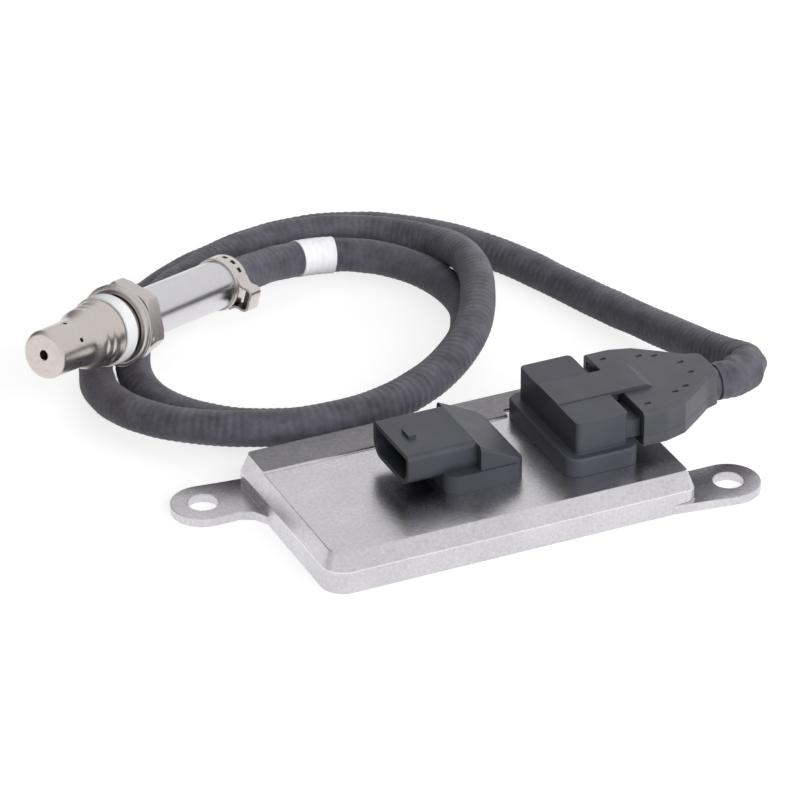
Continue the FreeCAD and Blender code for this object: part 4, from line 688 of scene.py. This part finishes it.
TUBE_PROFILE = [
    (1.35, 0.25), (1.55, 0.05), (5.5, 0.0), (5.95, 0.06), (6.35, 0.26), (6.65, 0.58), (6.8, 1.05),
    (6.8, 8.0), (6.85, 12.0), (6.9, 14.0), (7.25, 15.1), (7.95, 16.4), (8.4, 17.3), (8.55, 17.9),
    (8.5, 18.6), (8.35, 19.1), (8.45, 19.8), (8.75, 20.4), (8.8, 21.0), (8.6, 21.6), (8.7, 22.3),
    (9.05, 23.0), (9.2, 23.6), (9.2, 24.1), (9.4, 24.6), (9.4, 25.3), (9.15, 25.6),
    (4.8, 25.6), (4.8, 24.0), (7.7, 24.0), (7.7, 18.0), (6.0, 14.6), (6.0, 0.9), (1.35, 0.9),
]
tube = lathed("protection_tube_outer", TUBE_PROFILE, tube_steel, ["outer_protection_tube"],
              width=0.12)


ROD_SIDES = 32


def drilled(piece, count, distance, radius, reach, first):
    """Small round holes through a turned piece's wall, square to the probe's axis, from a first angle on."""
    cutters = bmesh.new()
    for i in range(count):
        spin = Matrix.Rotation(math.radians(first + 360.0 / count * i), 4, "Z")
        rod = Matrix.Translation((reach * MM, 0, distance * MM)) @ Matrix.Rotation(math.pi / 2, 4, "Y")
        bmesh.ops.create_cone(cutters, cap_ends=True, segments=ROD_SIDES, radius1=radius * MM, radius2=radius * MM,
                              depth=reach * 0.5 * MM, matrix=probe_frame @ spin @ rod)
    cut_away(piece, cutters)


drilled(tube, count=6, distance=9.4, radius=0.65, reach=6.8, first=57.0)

PASTE_PROFILE = [(9.2, 25.7), (9.75, 25.75), (9.98, 26.1), (10.0, 27.0), (9.93, 28.2), (10.0, 29.4), (9.95, 30.1),
                 (9.7, 30.4), (9.2, 30.4)]
lathed("thread_paste", PASTE_PROFILE, white_paste, ["thread_compound"])

GASKET_PROFILE = [(9.2, 32.6), (10.6, 32.25), (11.25, 32.45), (11.6, 33.0), (11.6, 33.3), (11.3, 33.6),
                  (11.35, 33.85), (11.6, 34.1), (11.6, 34.5), (11.3, 35.0), (10.6, 35.2), (9.2, 35.2)]
lathed("gasket_ring", GASKET_PROFILE, hex_steel, ["sealing_ring"])

HEX_FLAT = 10.5
HEX_TURN = math.radians(11.2)
HEX_START = 35.6
HEX_END = 40.9
HEX_FACE = 11.15
HEX_SLOPE = 1.6
HEX_SIDES = 240
HEX_STEPS = 14


def hexagon_rings():
    """Rings round the body: the hexagon is cut off at its corners by a cone at each end."""
    stations = [(5.7, 25.7), (9.1, 25.7), (9.1, 30.6), (8.9, 31.0), (8.9, 35.2), (10.6, 35.2), (10.6, 35.5),
                (10.4, HEX_START)]
    for i in range(HEX_STEPS + 1):
        stations.append((None, HEX_START + (HEX_END - HEX_START) * i / HEX_STEPS))
    stations += [(10.2, HEX_END), (7.4, HEX_END), (7.3, 41.6), (6.4, 41.6), (6.4, 47.0), (5.7, 47.0)]
    rings = []
    for radius, distance in stations:
        ring = []
        for j in range(HEX_SIDES):
            angle = 2 * math.pi * j / HEX_SIDES
            reach = radius
            if radius is None:
                corner = (angle + math.pi / 2 - HEX_TURN + math.pi / 6) % (math.pi / 3) - math.pi / 6
                flat = HEX_FLAT / math.cos(math.pi / 6 - abs(corner))
                end = min(distance - HEX_START, HEX_END - distance)
                reach = min(flat, HEX_FACE + end * HEX_SLOPE)
            ring.append(round_axis(reach, angle, distance))
        rings.append(ring)
    return rings, [distance / 10 for _, distance in stations]


rings, heights = hexagon_rings()
hexagon = show("probe_body_turned", skin("probe_body_turned", rings + [rings[0]], heights + [heights[0]], False),
               hex_steel, ["probe_body"])
soften(hexagon, 0.12, 2, 20.0)

SLEEVE_PROFILE = [(6.5, 41.7), (7.0, 41.7), (7.0, 42.4), (7.0, 60.0), (7.0, 78.0), (7.0, 85.3), (6.85, 85.8),
                  (6.5, 86.0), (5.25, 86.0), (5.25, 85.4), (6.5, 85.2), (6.5, 60.0)]
lathed("sleeve_shell", SLEEVE_PROFILE, sleeve_steel, ["steel_sleeve"], width=0.1)

BAND_PROFILE = [(7.05, 81.2), (7.5, 81.2), (7.7, 81.4), (7.75, 81.8), (7.7, 82.4), (7.75, 84.5), (7.75, 86.2),
                (7.6, 86.8), (7.2, 87.0), (5.3, 87.0), (5.3, 86.1), (7.05, 86.05)]
band = lathed("clamp_ring", BAND_PROFILE, clamp_steel, ["clamp_band"], width=0.12)
WINDOW_SIZE = (1.0, 1.5, 1.3)
WINDOW_ANGLES = (-112.0, -134.0, -156.0, -178.0)
WINDOW_DISTANCE = 84.4
WINDOW_DEPTH = (7.2 * MM, 7.65 * MM)


def windowed(piece, reach):
    """Small square windows pressed into the band, their insides painted dark as shade."""
    cutters = bmesh.new()
    for angle in WINDOW_ANGLES:
        spin = Matrix.Rotation(math.radians(angle), 4, "Z")
        place = probe_frame @ spin @ Matrix.Translation((reach * MM, 0, WINDOW_DISTANCE * MM))
        grow = Matrix.Diagonal((WINDOW_SIZE[0] * MM, WINDOW_SIZE[1] * MM, WINDOW_SIZE[2] * MM, 1.0))
        bmesh.ops.create_cube(cutters, size=1.0, matrix=place @ grow)
    cut_away(piece, cutters)
    piece.data.materials.append(dark_steel_and_painted_shade)
    inward = probe_frame.inverted()
    # The windows' sunk faces take dark steel: painted shade.
    for polygon in piece.data.polygons:
        place = inward @ polygon.center
        sunk = WINDOW_DEPTH[0] < math.hypot(place.x, place.y) < WINDOW_DEPTH[1]
        if sunk and abs(place.z - WINDOW_DISTANCE * MM) < 0.8 * MM:
            polygon.material_index = 1


windowed(band, 7.75)

# The clamp's ear: the middle of its strip, across the band and out from the probe's axis.
EAR_LINE = [
    (-5.0, 6.1), (-4.1, 6.9), (-3.35, 7.9), (-3.1, 9.0), (-3.3, 10.2), (-3.1, 11.2), (-2.3, 11.85), (-1.0, 11.95),
    (0.0, 11.75), (1.0, 11.95), (2.3, 11.85), (3.1, 11.2), (3.3, 10.2), (3.1, 9.0), (3.35, 7.9), (4.1, 6.9),
    (5.0, 6.1),
]
EAR_THICKNESS = 0.8
EAR_WIDTH = (81.4, 86.2)
EAR_TURN = math.radians(10.0)
# A dark sheet, painted shade, closes the ear's eye, between the upright parts of its inner faces.
EYE_SHADE_WIDTH = (83.4, 83.7)
EYE_SHADE_SKIPS = 3


def across_band(name, outline, distances):
    """A mesh with one outline, square to the probe's axis, between two distances from its tip."""
    spin = Matrix.Rotation(EAR_TURN, 4, "Z")
    rings = []
    for distance in distances:
        rings.append([probe_frame @ spin @ Vector((x * MM, -y * MM, distance * MM)) for x, y in outline])
    return skin(name, rings, [distance / 10 for distance in distances])


def clamp_ear():
    """The folded ear that tightens the band, its inner faces painted dark as shade."""
    line = [Vector(point) for point in EAR_LINE]
    inner, outer = [], []
    for i, point in enumerate(line):
        ahead = (line[min(i + 1, len(line) - 1)] - line[max(i - 1, 0)]).normalized()
        offset = Vector((-ahead.y, ahead.x)) * EAR_THICKNESS / 2
        outer.append(point + offset)
        inner.append(point - offset)
    mesh = across_band("clamp_ear", outer + list(reversed(inner)), EAR_WIDTH)
    outward(mesh)
    piece = show("clamp_ear", mesh, clamp_steel, ())
    mesh.materials.append(dark_steel_and_painted_shade)
    # The ear's inner faces take dark steel: painted shade.
    for polygon in mesh.polygons:
        if len(line) <= polygon.index < 2 * len(line) - 1:
            polygon.material_index = 1
    soften(piece, 0.15, 2, 40.0)
    # A dark sheet across the eye paints the shade inside it.
    eye_shade = across_band("clamp_eye_shade", inner[EYE_SHADE_SKIPS:-EYE_SHADE_SKIPS], EYE_SHADE_WIDTH)
    show("clamp_eye_shade", eye_shade, dark_steel_and_painted_shade, ())


clamp_ear()


# Floor, world and lights

WHITE = (1.0, 1.0, 1.0, 1.0)
FLOOR_HALF = 4.0
FLOOR_DROP = 0.05
BOUNCE_GREY = 0.35
SEEN_GREY = 0.34


def mapped(tree, source, span):
    """A value from one range to another, both given by their two ends."""
    node = tree.nodes.new("ShaderNodeMapRange")
    for name, value in zip(("From Min", "From Max", "To Min", "To Max"), span):
        node.inputs[name].default_value = value
    tree.links.new(source, node.inputs["Value"])
    return node.outputs["Result"]


def matt(tree, grey):
    shade = tree.nodes.new("ShaderNodeBsdfDiffuse")
    shade.inputs["Color"].default_value = (grey, grey, grey, 1.0)
    return shade


def mixed(tree, share, low, high):
    mix = tree.nodes.new("ShaderNodeMixShader")
    tree.links.new(share, mix.inputs[0])
    tree.links.new(low.outputs[0], mix.inputs[1])
    tree.links.new(high.outputs[0], mix.inputs[2])
    return mix


def seen_rays(tree):
    """1 for rays from the eye, off a gloss or through glass, and 0 for the rest."""
    path = tree.nodes.new("ShaderNodeLightPath")
    total = path.outputs["Is Camera Ray"]
    for name in ("Is Glossy Ray", "Is Transmission Ray"):
        add = tree.nodes.new("ShaderNodeMath")
        add.operation = "ADD"
        add.use_clamp = True
        tree.links.new(total, add.inputs[0])
        tree.links.new(path.outputs[name], add.inputs[1])
        total = add.outputs[0]
    return total


def floor_material():
    """White for the eye, far off too, with the object's shadow kept; a plain matt grey for light that bounces."""
    material = bpy.data.materials.new("studio_floor")
    material.use_nodes = True
    tree = material.node_tree
    tree.nodes.clear()
    place = tree.nodes.new("ShaderNodeTexCoord")
    away = tree.nodes.new("ShaderNodeVectorMath")
    away.operation = "LENGTH"
    tree.links.new(place.outputs["Object"], away.inputs[0])
    glow = tree.nodes.new("ShaderNodeEmission")
    tree.links.new(mapped(tree, away.outputs["Value"], (0.7, 2.6, 0.78, 1.0)), glow.inputs["Strength"])
    both = tree.nodes.new("ShaderNodeAddShader")
    tree.links.new(matt(tree, SEEN_GREY).outputs[0], both.inputs[0])
    tree.links.new(glow.outputs[0], both.inputs[1])
    mix = mixed(tree, seen_rays(tree), matt(tree, BOUNCE_GREY), both)
    output = tree.nodes.new("ShaderNodeOutputMaterial")
    tree.links.new(mix.outputs[0], output.inputs["Surface"])
    return material


floor_mesh = bpy.data.meshes.new("floor")
corners = [(-FLOOR_HALF, -FLOOR_HALF, 0), (FLOOR_HALF, -FLOOR_HALF, 0), (FLOOR_HALF, FLOOR_HALF, 0),
           (-FLOOR_HALF, FLOOR_HALF, 0)]
floor_mesh.from_pydata(corners, [], [(0, 1, 2, 3)])
floor = bpy.data.objects.new("floor", floor_mesh)
floor.location.z = -FLOOR_DROP * MM
floor_mesh.materials.append(floor_material())
bpy.context.scene.collection.objects.link(floor)


def backdrop(tree, strength):
    shade = tree.nodes.new("ShaderNodeBackground")
    shade.inputs["Color"].default_value = WHITE
    shade.inputs["Strength"].default_value = strength
    return shade


def studio():
    """Little light from the room itself, white for the eye, and for gloss a pale grey, darker at the back left."""
    world = bpy.data.worlds.new("studio")
    bpy.context.scene.world = world
    world.use_nodes = True
    tree = world.node_tree
    tree.nodes.clear()
    around = tree.nodes.new("ShaderNodeTexCoord")
    facing = tree.nodes.new("ShaderNodeVectorMath")
    facing.operation = "DOT_PRODUCT"
    facing.inputs[1].default_value = (-0.6, 0.8, 0.0)
    tree.links.new(around.outputs["Generated"], facing.inputs[0])
    room = backdrop(tree, 1.0)
    tree.links.new(mapped(tree, facing.outputs["Value"], (0.43, 0.88, 0.88, 0.15)), room.inputs["Strength"])
    rays = tree.nodes.new("ShaderNodeLightPath")
    soft = mixed(tree, rays.outputs["Is Glossy Ray"], backdrop(tree, 0.08), room)
    clear = mixed(tree, rays.outputs["Is Transmission Ray"], soft, backdrop(tree, 1.0))
    seen = mixed(tree, rays.outputs["Is Camera Ray"], clear, backdrop(tree, 1.0))
    output = tree.nodes.new("ShaderNodeOutputWorld")
    tree.links.new(seen.outputs[0], output.inputs["Surface"])


studio()

LIGHT_TARGET = (0.0, 0.05, 0.01)


def softbox(name, place, size, power):
    """A rectangular lamp that looks at the object and isn't seen in its gloss."""
    lamp = bpy.data.lights.new(name, "AREA")
    lamp.shape = "RECTANGLE"
    lamp.size, lamp.size_y = size
    lamp.energy = power
    holder = bpy.data.objects.new(name, lamp)
    holder.location = place
    holder.visible_glossy = False
    holder.rotation_euler = (Vector(LIGHT_TARGET) - Vector(place)).to_track_quat("-Z", "Y").to_euler()
    bpy.context.scene.collection.objects.link(holder)


softbox("front_light", (0.35, -1.4, 0.78), (2.2, 1.3), 40.0)
softbox("top_light", (0.3, 0.3, 1.6), (1.4, 1.4), 5.0)
softbox("right_light", (1.5, 0.2, 0.6), (0.8, 0.7), 5.0)
softbox("left_light", (-1.4, 0.5, 0.6), (0.8, 0.7), 1.2)
softbox("rear_light", (0.55, 1.5, 0.5), (1.0, 0.8), 11.0)

bpy.context.scene.view_settings.view_transform = "Standard"
